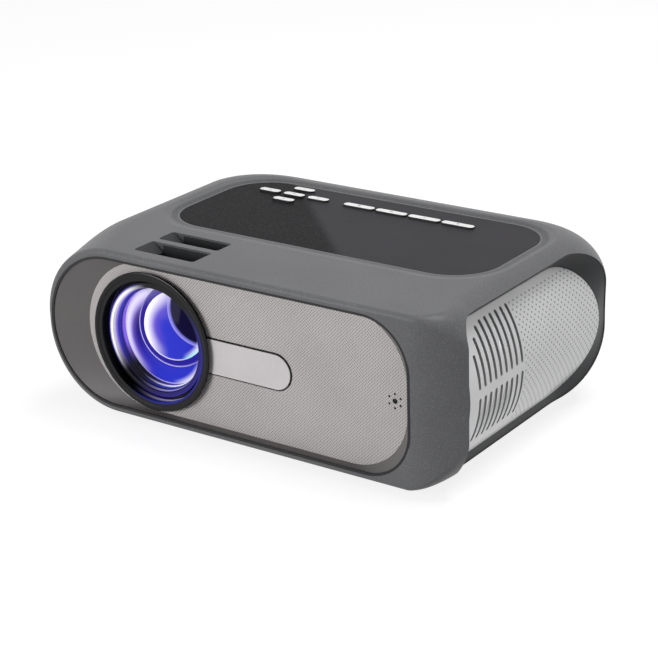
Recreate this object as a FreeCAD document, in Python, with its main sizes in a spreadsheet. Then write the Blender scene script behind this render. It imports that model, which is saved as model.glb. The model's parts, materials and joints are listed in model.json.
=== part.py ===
"""Compact LED projector: moulded case, light engine, tilting projection lens, fan, boards and keys.

Frame: millimetres, +Z up, +X to the right when facing the front, front towards -Y.
The origin is under the middle of the case, on the surface that the feet stand on.
"""
import FreeCAD, Part
import functools
import math
import os
import re
import Sketcher
from FreeCAD import Placement, Rotation, Vector

# Driving dimensions in millimetres and degrees. Each goes into a spreadsheet cell with its name.
SIZES = {
    # case
    "body_width": 210.0,
    "case_shift": 2.1,
    "body_depth": 154.0,
    "body_height": 74.0,
    "foot_height": 3.0,
    "wall": 2.2,
    "fit_gap": 0.1,
    "front_right_corner": 26.0,
    "rear_corner": 50.0,
    "side_top_round": 20.0,
    "side_bottom_round": 29.0,
    "end_flat": 2.0,
    "inner_edge_round": 0.4,
    "front_round": 2.0,
    "left_end_blend": 40.0,
    # front opening, bezel dish and grille
    "opening_rim_left": 2.0,
    "opening_rim_top": 3.0,
    "opening_rim_bottom": 2.5,
    "opening_rim_right": 23.8,
    "opening_right_corner": 22.0,
    "bezel_setback": 0.4,
    "bezel_lip": 0.7,
    "grille_depth": 4.4,
    "grille_from_left": 20.0,
    "grille_from_right": 27.7,
    "grille_edge": 1.25,
    "grille_right_corner": 26.7,
    "grille_thick": 1.5,
    "grille_flange": 1.1,
    "badge_length": 41.3,
    "badge_height": 15.2,
    "badge_low": 30.8,
    "badge_thick": 1.5,
    "badge_gap": 0.8,
    "badge_floor": 0.5,
    "sensor_from_grille": 5.6,
    "sensor_z": 38.4,
    "sensor_hole": 1.15,
    "sensor_ring": 3.0,
    "sensor_dot": 0.5,
    # deck and keys on top
    "deck_from_left": 26.8,
    "deck_from_right": 23.7,
    "deck_from_front": 47.3,
    "deck_from_back": 36.8,
    "deck_corner": 21.0,
    "deck_drop": 1.0,
    "deck_thick": 1.6,
    "deck_margin": 7.5,
    "deck_ledge": 2.2,
    "deck_ledge_thick": 1.6,
    "key_cross_from_deck": 31.9,
    "key_row_from_deck": 13.7,
    "key_pitch_x": 13.3,
    "key_pitch_y": 8.1,
    "key_length": 11.0,
    "key_width": 4.0,
    "key_height": 0.8,
    "key_gap": 0.15,
    "key_slack": 0.1,
    "key_flange": 0.8,
    "key_flange_wide": 1.0,
    "key_travel": 0.5,
    "bar_first_from_deck": 67.3,
    "bar_last_from_deck": 41.2,
    "bar_gap": 1.0,
    "key_board_thick": 1.2,
    "key_board_margin": 6.0,
    "switch_height": 1.6,
    "switch_width": 3.0,
    "deck_post_radius": 1.8,
    # wheel wells in the top
    "well_length": 31.8,
    "well_offset_x": 5.2,
    "well_depth": 6.0,
    "well_wall": 1.2,
    "well_corner": 1.5,
    "focus_well_width": 12.8,
    "keystone_well_width": 10.3,
    # projection lens
    "lens_from_left": 55.9,
    "lens_drop": 1.0,
    "lens_ring_radius": 29.4,
    "lens_ring_bore": 27.0,
    "lens_ring_front": 2.0,
    "lens_ring_flange": 1.6,
    "lens_ring_back": 1.2,
    "barrel_radius": 25.5,
    "barrel_front": 5.0,
    "barrel_length": 46.0,
    "barrel_bore": 20.5,
    "front_lens_radius": 23.4,
    "front_lens_edge": 3.0,
    "front_lens_curve": 46.0,
    "front_lens_recess": 7.4,
    "retainer_width": 1.6,
    "retainer_thick": 1.2,
    "retainer_gap": 1.0,
    "ridge_depth": 1.5,
    "ridge_thick": 1.2,
    "inner_lens_thick": 5.0,
    "inner_lens_curve": 60.0,
    "middle_lens_y": 26.0,
    "rear_lens_y": 44.0,
    "slide_gap": 0.05,
    "collar_wall": 2.0,
    "collar_front": 8.6,
    "collar_rear": 40.0,
    "collar_lip": 1.2,
    "collar_lip_thick": 0.6,
    "wheel_floor_gap": 0.8,
    "wheel_rib": 0.7,
    "wheel_ribs": 48,
    "focus_wheel_y": 13.5,
    "focus_wheel_width": 8.0,
    "keystone_wheel_y": 28.5,
    "keystone_wheel_width": 6.0,
    "pivot_y": 21.5,
    "pivot_radius": 2.5,
    "cradle_flange_radius": 30.5,
    "cradle_flange_thick": 4.6,
    "ear_gap": 1.2,
    "ear_thick": 3.5,
    "ear_half_height": 7.0,
    "tilt_room": 1.3,
    "hub_radius": 29.5,
    "hub_gap": 0.4,
    "rib_gap_width": 2.0,
    "carrier_front": 25.0,
    "carrier_wall": 1.3,
    "bracket_y": 33.0,
    "bracket_thick": 3.0,
    "bracket_radius": 31.0,
    "bracket_foot_left": 7.0,
    "bracket_foot_right": 20.0,
    # light engine behind and beside the lens
    "engine_from_front": 62.0,
    "engine_board_gap": 5.4,
    "engine_half_height": 26.0,
    "engine_from_left": 20.9,
    "engine_length": 118.0,
    "engine_wall": 2.0,
    "groove": 0.8,
    "sheet_thick": 1.5,
    "mirror_thick": 2.0,
    "mirror_gap": 3.13,
    "front_fresnel_reach": 76.0,
    "lcd_reach": 82.0,
    "rear_fresnel_reach": 88.0,
    "heat_glass_reach": 93.0,
    "condenser_reach": 102.0,
    "condenser_radius": 21.0,
    "condenser_curve": 30.0,
    "condenser_edge": 2.5,
    "condenser_seat": 2.0,
    "led_board_thick": 1.6,
    "led_half": 7.0,
    "led_chip": 1.0,
    "leg_half_width": 4.0,
    "leg_half_depth": 3.0,
    "leg_left_reach": 34.0,
    "leg_right_reach": 108.0,
    "leg_front_reach": 6.0,
    "leg_rear_edge": 11.0,
    "sink_base": 4.0,
    "sink_depth": 20.0,
    "sink_fins": 12,
    "fin_thick": 1.2,
    # fan
    "fan_from_right": 35.1,
    "fan_engine_gap": 1.0,
    "fan_size": 50.0,
    "fan_thick": 15.0,
    "fan_bore": 23.5,
    "fan_blade_gap": 0.6,
    "fan_hub": 9.5,
    "fan_hub_front": 2.0,
    "fan_hub_gap": 0.3,
    "fan_blade_margin": 1.0,
    "fan_blades": 7,
    "fan_blade_thick": 1.2,
    "fan_blade_pitch": 35.0,
    "fan_shaft": 1.0,
    "fan_shaft_length": 8.0,
    "fan_arm": 3.0,
    "fan_plate": 2.0,
    "fan_saddle": 4.0,
    # side windows, rims and vent panels
    "window_half_height": 34.0,
    "window_right_from_front": 11.93,
    "window_left_from_front": 31.0,
    "window_from_back": 23.0,
    "window_corner": 8.0,
    "rim_inset": 0.5,
    "rim_thick": 1.1,
    "panel_inset": 5.1,
    "panel_round": 46.0,
    "panel_half_height": 29.0,
    "panel_front_gap": 2.2,
    "panel_rear_gap": 11.0,
    "panel_corner": 5.5,
    "panel_thick": 2.0,
    "panel_flange": 1.2,
    "panel_flange_edge": 2.5,
    "vent_count": 9,
    "vent_pitch": 4.1,
    "vent_first": 9.9,
    "vent_width": 1.7,
    "vent_high": 26.5,
    "vent_low": 20.0,
    "vent_drop": 1.08,
    "vent_short": 3,
    "vent_bar_z": 1.0,
    "vent_bar": 3.5,
    # rear ports
    "port_left": -48.0,
    "port_right": 68.0,
    "port_half_height": 10.5,
    "port_depth": 6.5,
    "port_plate": 1.6,
    "port_corner": 4.0,
    "board_thick": 1.6,
    "board_gap": 11.3,
    "main_board_left": -68.0,
    "main_board_right": 40.0,
    "main_board_half_height": 22.0,
    "hdmi_x": -32.0,
    "hdmi_width": 15.0,
    "hdmi_height": 5.6,
    "usb_x": -12.0,
    "usb_width": 13.2,
    "usb_height": 5.8,
    "socket_wall": 0.7,
    "av_jack_x": 7.0,
    "phone_jack_x": 21.0,
    "jack_radius": 3.8,
    "jack_bore": 1.8,
    "jack_depth": 11.0,
    "inlet_x": 53.0,
    "inlet_width": 19.0,
    "inlet_height": 11.0,
    "inlet_depth": 14.0,
    "inlet_wall": 1.4,
    "inlet_pin": 1.15,
    "inlet_pin_apart": 8.8,
    # boards, speaker and sensor inside
    "power_board_length": 62.0,
    "power_board_edge": 10.0,
    "power_board_width": 31.0,
    "power_board_engine_gap": 4.0,
    "power_board_height": 6.0,
    "transformer_reach": 40.0,
    "transformer_rear": 17.0,
    "transformer_half": 9.0,
    "transformer_height": 14.0,
    "capacitor_reach": 14.0,
    "capacitor_radius": 4.0,
    "capacitor_height": 12.0,
    "board_post_radius": 2.5,
    "board_post_edge": 4.0,
    "speaker_from_right": 61.1,
    "speaker_radius": 19.5,
    "speaker_flange": 1.5,
    "speaker_magnet": 12.0,
    "speaker_depth": 15.0,
    "speaker_basket_depth": 9.0,
    "speaker_magnet_front": 7.5,
    "speaker_cone_depth": 6.0,
    "sensor_board": 9.0,
    "sensor_body": 6.0,
    # bottom cover, feet, screws and tripod insert
    "cover_from_left": 42.9,
    "cover_from_right": 37.1,
    "cover_from_front": 7.5,
    "cover_from_back": 55.0,
    "cover_corner": 6.0,
    "ledge_width": 5.0,
    "ledge_thick": 1.8,
    "ledge_edge": 1.5,
    "wheel_notch_half": 12.0,
    "foot_radius": 6.0,
    "foot_round": 0.8,
    "foot_front_from_left": 36.4,
    "foot_front_from_right": 30.1,
    "foot_from_front": 14.0,
    "foot_rear_from_side": 43.0,
    "foot_from_back": 46.0,
    "screw_radius": 1.5,
    "screw_head": 2.6,
    "screw_head_thick": 1.2,
    "screw_length": 7.0,
    "post_height": 7.4,
    "post_radius": 3.2,
    "screw_edge": 4.0,
    "front_screw_from_lens": 29.0,
    "tripod_y": -4.0,
    "tripod_bore": 2.55,
    "insert_radius": 5.0,
    "insert_length": 8.0,
    "boss_wall": 2.0,
}

doc = FreeCAD.newDocument("projector")
sheet = doc.addObject("Spreadsheet::Sheet", "Sizes")
for row, (alias, number) in enumerate(SIZES.items(), 1):
    sheet.set(f"A{row}", alias)
    sheet.set(f"B{row}", str(number))
    sheet.setAlias(f"B{row}", alias)
doc.recompute()

# Places that many pieces share, as expressions over the sheet.
# The right window cuts the widest part of the case away, so the full outline stands to the right of the origin.
RIGHT = "case_shift + body_width / 2"
LEFT = "case_shift - body_width / 2"
FRONT = "-body_depth / 2"
BACK = "body_depth / 2"
BASE = "foot_height"
TOP = "foot_height + body_height"
MID = "foot_height + body_height / 2"
FLOOR = "foot_height + wall"
# Places that follow from the sizes. An expression may use their names as it uses a size's.
PLACES = {
    "opening_right": f"{RIGHT} - opening_rim_right",
    "grille_left": f"{LEFT} + grille_from_left",
    "grille_right": f"{RIGHT} - grille_from_right",
    "sensor_x": "grille_right - sensor_from_grille",
    "deck_left": f"{LEFT} + deck_from_left",
    "deck_right": f"{RIGHT} - deck_from_right",
    "deck_front": f"{FRONT} + deck_from_front",
    "deck_rear": f"{BACK} - deck_from_back",
    "key_cross_x": "deck_left + key_cross_from_deck",
    "key_row_y": "deck_rear - key_row_from_deck",
    "bar_first_x": "deck_left + bar_first_from_deck",
    "bar_pitch": "(deck_right - bar_last_from_deck - bar_first_x) / 3",
    "bar_length": "bar_pitch - bar_gap",
    "lens_x": f"{LEFT} + lens_from_left",
    "lens_z": f"{MID} - lens_drop",
    "wheel_radius": f"lens_z - ({FLOOR}) - wheel_floor_gap",
    "engine_left": f"{LEFT} + engine_from_left",
    "engine_front": f"{FRONT} + engine_from_front",
    "engine_rear": f"{BACK} - port_depth - port_plate - board_gap - 2 * board_thick - engine_board_gap",
    "engine_y": "(engine_front + engine_rear) / 2",
    "engine_half_depth": "(engine_rear - engine_front) / 2",
    "mirror_room": "min(engine_half_depth; lens_x - engine_left) - engine_wall - mirror_gap",
    "mirror_length": "2 * sqrt(2) * mirror_room - mirror_thick",
    "front_fresnel_x": "engine_left + front_fresnel_reach",
    "lcd_x": "engine_left + lcd_reach",
    "rear_fresnel_x": "engine_left + rear_fresnel_reach",
    "heat_glass_x": "engine_left + heat_glass_reach",
    "condenser_x": "engine_left + condenser_reach",
    "leg_left_x": "engine_left + leg_left_reach",
    "leg_right_x": "engine_left + leg_right_reach",
    "leg_front_y": "engine_front + leg_front_reach",
    "leg_rear_y": "cover_rear - leg_rear_edge",
    "window_front_right": f"{FRONT} + window_right_from_front",
    "window_front_left": f"{FRONT} + window_left_from_front",
    "window_rear": f"{BACK} - window_from_back",
    "fan_x": f"{RIGHT} - fan_from_right",
    "fan_y": "engine_front - fan_engine_gap - fan_size / 2",
    "cover_left": f"{LEFT} + cover_from_left",
    "cover_right": f"{RIGHT} - cover_from_right",
    "cover_front": f"{FRONT} + cover_from_front",
    "cover_rear": f"{BACK} - cover_from_back",
    "power_board_right": "cover_right - power_board_edge",
    "power_board_left": "power_board_right - power_board_length",
    "power_board_rear": "engine_front - power_board_engine_gap",
    "power_board_front": "power_board_rear - power_board_width",
    "transformer_x": "power_board_left + transformer_reach",
    "transformer_y": "power_board_rear - transformer_rear",
    "capacitor_x": "power_board_left + capacitor_reach",
    "speaker_x": f"{RIGHT} - speaker_from_right",
    "foot_front_left_x": f"{LEFT} + foot_front_from_left",
    "foot_front_right_x": f"{RIGHT} - foot_front_from_right",
    "foot_rear_left_x": f"{LEFT} + foot_rear_from_side",
    "foot_rear_right_x": f"{RIGHT} - foot_rear_from_side",
    "foot_front_y": f"{FRONT} + foot_from_front",
    "foot_rear_y": f"{BACK} - foot_from_back",
    "front_left_screw_x": "lens_x + front_screw_from_lens",
}
AXES = {"x": Vector(1, 0, 0), "y": Vector(0, 1, 0), "z": Vector(0, 0, 1)}
# A sketch on each plane, named by its normal, has its first axis and its second axis turned this way.
PLANES = {
    "x": Rotation(Vector(1, 1, 1), 120),
    "y": Rotation(Vector(1, 0, 0), 90),
    "z": Rotation(),
}
# A cylinder or cone stands on Z, and is turned to lie along another axis.
TURNS = {
    "x": Rotation(Vector(0, 1, 0), 90),
    "y": Rotation(Vector(1, 0, 0), -90),
    "z": Rotation(),
}
CROSS = {"x": ("y", "z"), "y": ("x", "z"), "z": ("x", "y")}
PIECES = {}


def expand(text):
    """Give an expression its sheet references, with each place written out."""
    def refer(word):
        if word[0] in PLACES:
            return f"({expand(PLACES[word[0]])})"
        return "Sizes." + word[0] if word[0] in SIZES else word[0]
    return re.sub(r"[a-z]\w*", refer, text)


def value(text):
    """Work an expression out to a number."""
    result = sheet.evalExpression(expand(text))
    return float(getattr(result, "Value", result))


def bind(thing, **expressions):
    """Bind properties of an object to expressions over the sheet."""
    for name, text in expressions.items():
        thing.setExpression(name.replace("__", "."), expand(text))


def place(thing, x="0", y="0", z="0"):
    """Bind an object's place."""
    bind(thing, Placement__Base__x=x, Placement__Base__y=y, Placement__Base__z=z)


def between(low, high):
    """Length from one place to another, as an expression."""
    return f"({high}) - ({low})"


def block(name, x, y, z):
    """Box from a low and a high place along each axis."""
    thing = doc.addObject("Part::Box", name)
    bind(thing, Length=between(*x), Width=between(*y), Height=between(*z))
    place(thing, x[0], y[0], z[0])
    return thing


def rod(name, axis, radius, span, cross, end_radius=None):
    """Cylinder, or cone, along an axis, from span[0] to span[1], at the cross places."""
    thing = doc.addObject("Part::Cone" if end_radius else "Part::Cylinder", name)
    if end_radius:
        bind(thing, Radius1=radius, Radius2=end_radius, Height=between(*span))
    else:
        bind(thing, Radius=radius, Height=between(*span))
    thing.Placement = Placement(Vector(), TURNS[axis])
    place(thing, **{axis: span[0], CROSS[axis][0]: cross[0], CROSS[axis][1]: cross[1]})
    return thing


def ball(name, radius, x, y, z):
    """Sphere round a place."""
    thing = doc.addObject("Part::Sphere", name)
    bind(thing, Radius=radius)
    place(thing, x, y, z)
    return thing


def join(name, *parts):
    """Fuse parts into one solid."""
    thing = doc.addObject("Part::MultiFuse", name)
    thing.Shapes = list(parts)
    thing.Refine = True
    return thing


def group(name, parts):
    """Several separate solids in one object."""
    thing = doc.addObject("Part::Compound", name)
    thing.Links = list(parts)
    return thing


def trim(name, base, *tools):
    """Cut tools from a base."""
    thing = doc.addObject("Part::Cut", name)
    thing.Base = base
    thing.Tool = tools[0] if len(tools) == 1 else group(name + "_tools", tools)
    thing.Refine = True
    return thing


def overlap(name, first, second):
    """What two solids share."""
    thing = doc.addObject("Part::Common", name)
    thing.Base = first
    thing.Tool = second
    thing.Refine = True
    return thing


def tube(name, axis, radius, bore, span, cross):
    """Round tube along an axis."""
    inside = rod(name + "_bore", axis, bore, span, cross)
    return trim(name, rod(name + "_outside", axis, radius, span, cross), inside)


def corner_arc(start, end, radius):
    """Convex arc from start to end of an outline that runs counterclockwise."""
    chord = end - start
    out = Vector(chord.y, -chord.x, 0).normalize()
    sagitta = radius - math.sqrt(max(radius ** 2 - (chord.Length / 2) ** 2, 0))
    return Part.Arc(start, start + chord / 2 + out * sagitta, end)


def outline(name, normal, level, steps):
    """Closed sketch. A step is (u, v) for a line to that place, or (u, v, radius) for a convex arc."""
    sketch = doc.addObject("Sketcher::SketchObject", name)
    sketch.Placement = Placement(Vector(), PLANES[normal])
    bind(sketch, **{"Placement__Base__" + normal: level})
    places = [Vector(value(step[0]), value(step[1]), 0) for step in steps]
    for number, step in enumerate(steps):
        start, end = places[number - 1], places[number]
        if len(step) == 3:
            sketch.addGeometry(corner_arc(start, end, value(step[2])))
        else:
            sketch.addGeometry(Part.LineSegment(start, end))
    for number, step in enumerate(steps):
        follower = (number + 1) % len(steps)
        sketch.addConstraint(Sketcher.Constraint("Coincident", number, 2, follower, 1))
        sizes = [("DistanceX", (-1, 1, number, 2), step[0]), ("DistanceY", (-1, 1, number, 2), step[1])]
        if len(step) == 3:
            sizes.append(("Radius", (number,), step[2]))
        for kind, target, text in sizes:
            index = sketch.addConstraint(Sketcher.Constraint(kind, *target, value(text)))
            sketch.setExpression(f"Constraints[{index}]", expand(text))
    return sketch


def rounded(u, v, low_left="0", low_right=None, high_right=None, high_left=None):
    """Steps of a rectangle with a radius at each corner; one radius serves all when it stands alone."""
    if low_right is None:
        low_right = high_right = high_left = low_left
    (left, right), (low, high) = u, v
    steps = [
        (f"{right} - ({low_right})", low),
        (right, f"{low} + {low_right}", low_right),
        (right, f"{high} - ({high_right})"),
        (f"{right} - ({high_right})", high, high_right),
        (f"{left} + {high_left}", high),
        (left, f"{high} - ({high_left})", high_left),
        (left, f"{low} + {low_left}"),
        (f"{left} + {low_left}", low, low_left),
    ]
    kept = []
    for number, step in enumerate(steps):
        before = steps[number - 1]
        reach = math.hypot(value(step[0]) - value(before[0]), value(step[1]) - value(before[1]))
        if reach > 1e-6:
            kept.append(step)
    return kept


def prism(name, normal, span, steps):
    """Outline drawn out along an axis, from span[0] to span[1]."""
    thing = doc.addObject("Part::Extrusion", name)
    thing.Base = outline(name + "_outline", normal, span[0], steps)
    thing.DirMode = "Custom"
    thing.Dir = AXES[normal]
    thing.Solid = True
    bind(thing, LengthFwd=between(*span))
    return thing


def taper(name, first, second):
    """Solid with straight sides between two outlines."""
    thing = doc.addObject("Part::Loft", name)
    thing.Sections = [first, second]
    thing.Solid = True
    thing.Ruled = True
    return thing


def soften(name, base, radii):
    """Round edges of a base. radii gives an edge its start and end radius, or None to leave it sharp."""
    doc.recompute()
    thing = doc.addObject("Part::Fillet", name)
    thing.Base = base
    chosen = [(number, radii(edge)) for number, edge in enumerate(base.Shape.Edges, 1)]
    thing.Edges = [(number, *pair) for number, pair in chosen if pair]
    return thing


def carve(name, shape):
    """Object whose shape is set by code."""
    thing = doc.addObject("Part::Feature", name)
    thing.Shape = shape
    return thing


def keep(label, thing):
    """Take a finished piece into the model under its own label."""
    thing.Label = label
    PIECES[label] = thing
    return thing


def ends(edge):
    """Both ends of an edge in the order of its parameter."""
    return edge.valueAt(edge.FirstParameter), edge.valueAt(edge.LastParameter)


def near(first, second):
    """True where two places along an axis are the same."""
    return abs(first - second) < 1e-4


def case_form(name, inset):
    """Outer form of the case, or its inside when inset. The right half has a round front corner. The left
    half has a sharp one, where its rounded side opens out to a full half round at the front."""
    left, right = f"({LEFT} + {inset})", f"({RIGHT} - {inset})"
    front, back = f"({FRONT} + {inset})", f"({BACK} - {inset})"
    height = (f"{BASE} + {inset}", f"{TOP} - {inset}")
    rear = f"rear_corner - {inset}"
    middle = value(MID)
    full = value(f"(body_height - end_flat) / 2 - {inset}")
    front_round = max(value(f"front_round - {inset}"), value("inner_edge_round"))

    def radius_at(point, front_radius):
        if near(point.y, value(back)):
            return full
        if near(point.y, value(front)):
            return front_radius
        side = "side_top_round" if point.z > middle else "side_bottom_round"
        return value(f"{side} - {inset}")

    def level_radii(skipped_side, front_radius):
        def radii(edge):
            start, end = ends(edge)
            if not near(start.z, end.z) or (near(start.x, skipped_side) and near(end.x, skipped_side)):
                return None
            limit = front_radius or front_round
            if front_radius and near(start.y, value(front)) and near(end.y, value(front)):
                return None
            return radius_at(start, limit), radius_at(end, limit)
        return radii

    def front_radii(edge):
        start, end = ends(edge)
        level = all(near(vertex.Y, value(front)) for vertex in edge.Vertexes)
        if not level or (near(start.x, value(right)) and near(end.x, value(right))):
            return None
        return front_round, front_round

    right_steps = rounded((left, right), (front, back), "0", f"front_right_corner - {inset}", rear, "0")
    right_block = prism(name + "_right_block", "z", height, right_steps)
    right_form = soften(name + "_right_form", right_block, level_radii(value(left), None))

    left_steps = rounded((left, right), (front, back), "0", "0", "0", rear)
    left_steps.insert(-1, (left, f"{front} + left_end_blend"))
    left_block = prism(name + "_left_block", "z", height, left_steps)
    left_sides = soften(name + "_left_sides", left_block, level_radii(value(right), full))
    left_form = soften(name + "_left_form", left_sides, front_radii)

    halves = []
    for side, form, reach in (("left", left_form, (LEFT, "0")), ("right", right_form, ("0", RIGHT))):
        room = block(f"{name}_{side}_room", reach, (FRONT, BACK), (BASE, TOP))
        halves.append(overlap(f"{name}_{side}_half", form, room))
    return join(name, *halves)


CASE = case_form("case_outside", "0")
INSIDE = case_form("case_inside", "wall")
doc.recompute()


def grow(span, edge):
    """Span made longer by an edge at both ends."""
    return f"({span[0]}) - ({edge})", f"({span[1]}) + ({edge})"


def around(middle, half):
    """Span of a half width each side of a middle."""
    return f"({middle}) - ({half})", f"({middle}) + ({half})"


# Outlines that several pieces share.
OPENING_X = (f"({LEFT} + opening_rim_left)", "opening_right")
OPENING_Z = (f"({BASE} + opening_rim_bottom)", f"({TOP} - opening_rim_top)")
GRILLE_X = ("grille_left", "grille_right")
GRILLE_Z = (f"({OPENING_Z[0]} + grille_edge)", f"({OPENING_Z[1]} - grille_edge)")
GRILLE_FRONT = f"{FRONT} + grille_depth"
GRILLE_BACK = f"{FRONT} + grille_depth + grille_thick"
DECK_X = ("deck_left", "deck_right")
DECK_Y = ("deck_front", "deck_rear")
DECK_TOP = f"{TOP} - deck_drop"
DECK_UNDER = f"{TOP} - deck_drop - deck_thick"
COVER_X = ("cover_left", "cover_right")
COVER_Y = ("cover_front", "cover_rear")
PORT_FACE = f"{BACK} - port_depth"
PORT_INNER = f"{BACK} - port_depth - port_plate"
PORT_X = ("port_left", "port_right")
PORT_Z = around(MID, "port_half_height")


def bay(x, z, edge, right_corner):
    """Steps of a front outline: a half round at the left, two corners at the right, grown by an edge."""
    x, z = grow(x, edge), grow(z, edge)
    half = f"({between(*z)}) / 2"
    corner = f"({right_corner} + ({edge}))"
    return rounded(tuple(f"({u})" for u in x), tuple(f"({v})" for v in z), half, corner, corner, half)


def plate_steps(x, y, edge, corner):
    """Steps of a rectangle with one corner radius, grown by an edge."""
    x, y = grow(x, edge), grow(y, edge)
    return rounded(tuple(f"({u})" for u in x), tuple(f"({v})" for v in y), f"({corner} + ({edge}))")


def key_places():
    """Name, middle and length of each key: five in a cross, then four bars in a row."""
    row = "key_row_y"
    places = [
        ("left_key", "key_cross_x - key_pitch_x", row, "key_length"),
        ("right_key", "key_cross_x + key_pitch_x", row, "key_length"),
        ("ok_key", "key_cross_x", row, "key_length"),
        ("up_key", "key_cross_x", f"{row} + key_pitch_y", "key_length"),
        ("down_key", "key_cross_x", f"{row} - key_pitch_y", "key_length"),
    ]
    for number, name in enumerate(("source_key", "menu_key", "back_key", "power_key")):
        places.append((name, f"bar_first_x + {number} * bar_pitch", row, "bar_length"))
    return places


def cover_screw_places():
    """Middle of each screw that holds the bottom cover. One stands aside to pass the lens wheels."""
    rear, front = "cover_rear - screw_edge", "cover_front + screw_edge"
    left, right = "cover_left + screw_edge", "cover_right - screw_edge"
    return [("front_left_screw_x", front), (right, front), (right, rear), (left, rear)]


# Level of the switch board: a pressed key stops short of its switch by the slack.
KEY_FLANGE_TOP = f"{DECK_UNDER} - key_slack"
KEY_FLANGE_LOW = f"{KEY_FLANGE_TOP} - key_flange"
KEY_BOARD_TOP = f"{KEY_FLANGE_LOW} - key_travel - key_slack - switch_height"

# Lens axis, and the wheels in their wells.
AXIS = ("lens_x", "lens_z")
PIVOT = (f"{FRONT} + pivot_y", "lens_z")
WHEELS = {
    "focus": (f"{FRONT} + focus_wheel_y", "focus_wheel_width / 2", "focus_well_width"),
    "keystone": (f"{FRONT} + keystone_wheel_y", "keystone_wheel_width / 2", "keystone_well_width"),
}
WELL_X = around("lens_x + well_offset_x", "well_length / 2")


def window_steps(front, edge):
    """Steps of a side window: half round at the rear, two corners at the front."""
    y, z = grow((front, "window_rear"), edge), grow(around(MID, "window_half_height"), edge)
    half, corner = f"(window_half_height + ({edge}))", f"(window_corner + ({edge}))"
    return rounded((f"({y[0]})", f"({y[1]})"), (f"({z[0]})", f"({z[1]})"), corner, half, half, corner)


def panel_steps(front, edge):
    """Steps of the vent panel that sits inside a side window."""
    y = grow((f"({front}) + panel_front_gap", "window_rear - panel_rear_gap"), edge)
    z = grow(around(MID, "panel_half_height"), edge)
    half, corner = f"(panel_half_height + ({edge}))", f"(panel_corner + ({edge}))"
    return rounded((f"({y[0]})", f"({y[1]})"), (f"({z[0]})", f"({z[1]})"), corner, half, half, corner)


SIDES = {"right": (1, "window_front_right"), "left": (-1, "window_front_left")}


def side_span(sign):
    """From a quarter of the width to past the side, on the side that the sign gives."""
    if sign > 0:
        return "body_width / 4", f"{RIGHT} + wall"
    return f"{LEFT} - wall", "-body_width / 4"


def build_housing():
    """Main moulding: top, sides and rear, with its openings, ledges, wells and screw posts."""
    inner_top = f"{TOP} - wall / 2"
    extras = []
    deck_room = plate_steps(DECK_X, DECK_Y, "fit_gap + well_wall", "deck_corner")
    ledge_low = f"{DECK_UNDER} - deck_ledge_thick"
    extras.append(prism("deck_ledge", "z", (ledge_low, f"{DECK_TOP} - fit_gap"), deck_room))
    wells = []
    for name, (middle, _, width) in WHEELS.items():
        y = around(middle, f"{width} / 2")
        well_low = f"{TOP} - well_depth"
        wall = prism(f"{name}_well_wall", "z", (well_low, inner_top),
                     plate_steps(WELL_X, y, "well_wall", "well_corner"))
        extras.append(wall)
        wells.append(prism(f"{name}_well", "z", (f"{well_low} - wall", f"{TOP} + wall"),
                           plate_steps(WELL_X, y, "0", "well_corner")))
    ledge = (f"{BASE} + wall / 2", f"{FLOOR} + ledge_thick")
    extras.append(prism("cover_ledge", "z", ledge, plate_steps(COVER_X, COVER_Y, "ledge_edge", "cover_corner")))
    holes = []
    for number, (x, y) in enumerate(cover_screw_places()):
        post = (f"{FLOOR}", f"{FLOOR} + post_height")
        extras.append(rod(f"screw_post_{number}", "z", "post_radius", post, (x, y)))
        holes.append(rod(f"screw_hole_{number}", "z", "screw_radius + slide_gap", post, (x, y)))
    saddle_low = f"{BASE} + wall / 2"
    for name, y in (("front", f"fan_y - fan_size / 2"), ("rear", f"fan_y + fan_size / 2 - fan_saddle")):
        extras.append(block(f"fan_saddle_{name}", ("fan_x", "fan_x + fan_saddle"),
                            (y, f"{y} + fan_saddle"), (saddle_low, f"{MID} - fan_size / 2")))
    shell = trim("case_shell", CASE, INSIDE)
    body = join("case_with_ribs", shell, *extras)

    tools = list(wells) + holes
    opening_depth = (f"{FRONT} - wall", f"{FRONT} + grille_depth + fit_gap")
    opening = bay(OPENING_X, OPENING_Z, "0", "opening_right_corner")
    tools.append(prism("front_opening", "y", opening_depth, opening))
    for side, (sign, front) in SIDES.items():
        tools.append(prism(f"{side}_window", "x", side_span(sign), window_steps(front, "fit_gap")))
    gap_steps = plate_steps(DECK_X, DECK_Y, "fit_gap", "deck_corner")
    tools.append(prism("deck_pocket", "z", (DECK_UNDER, f"{TOP} + wall"), gap_steps))
    tools.append(prism("deck_window", "z", (f"{ledge_low} - wall", TOP),
                       plate_steps(DECK_X, DECK_Y, "-deck_ledge", "deck_corner")))
    dish_top = outline("deck_dish_top", "z", TOP, plate_steps(DECK_X, DECK_Y, "deck_margin", "deck_corner"))
    tools.append(taper("deck_dish", dish_top, outline("deck_dish_low", "z", DECK_TOP, gap_steps)))
    tools.append(prism("cover_pocket", "z", (f"{BASE} - wall", FLOOR),
                       plate_steps(COVER_X, COVER_Y, "0", "cover_corner")))
    tools.append(prism("cover_window", "z", (f"{BASE} - wall", f"{FLOOR} + ledge_thick + wall"),
                       plate_steps(COVER_X, COVER_Y, "-ledge_width", "cover_corner")))
    notch_y = (f"{FRONT} + wall", f"{WHEELS['focus'][0]} + focus_well_width / 2")
    tools.append(block("wheel_notch", around("lens_x", "wheel_notch_half"), notch_y,
                       (FLOOR, f"{FLOOR} + 2 * ledge_thick")))
    tools.append(prism("port_window", "y", (f"{PORT_INNER} - wall", f"{BACK} + wall"),
                       plate_steps(PORT_X, PORT_Z, "fit_gap", "port_corner")))
    keep("housing", trim("housing_body", body, *tools))


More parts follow.
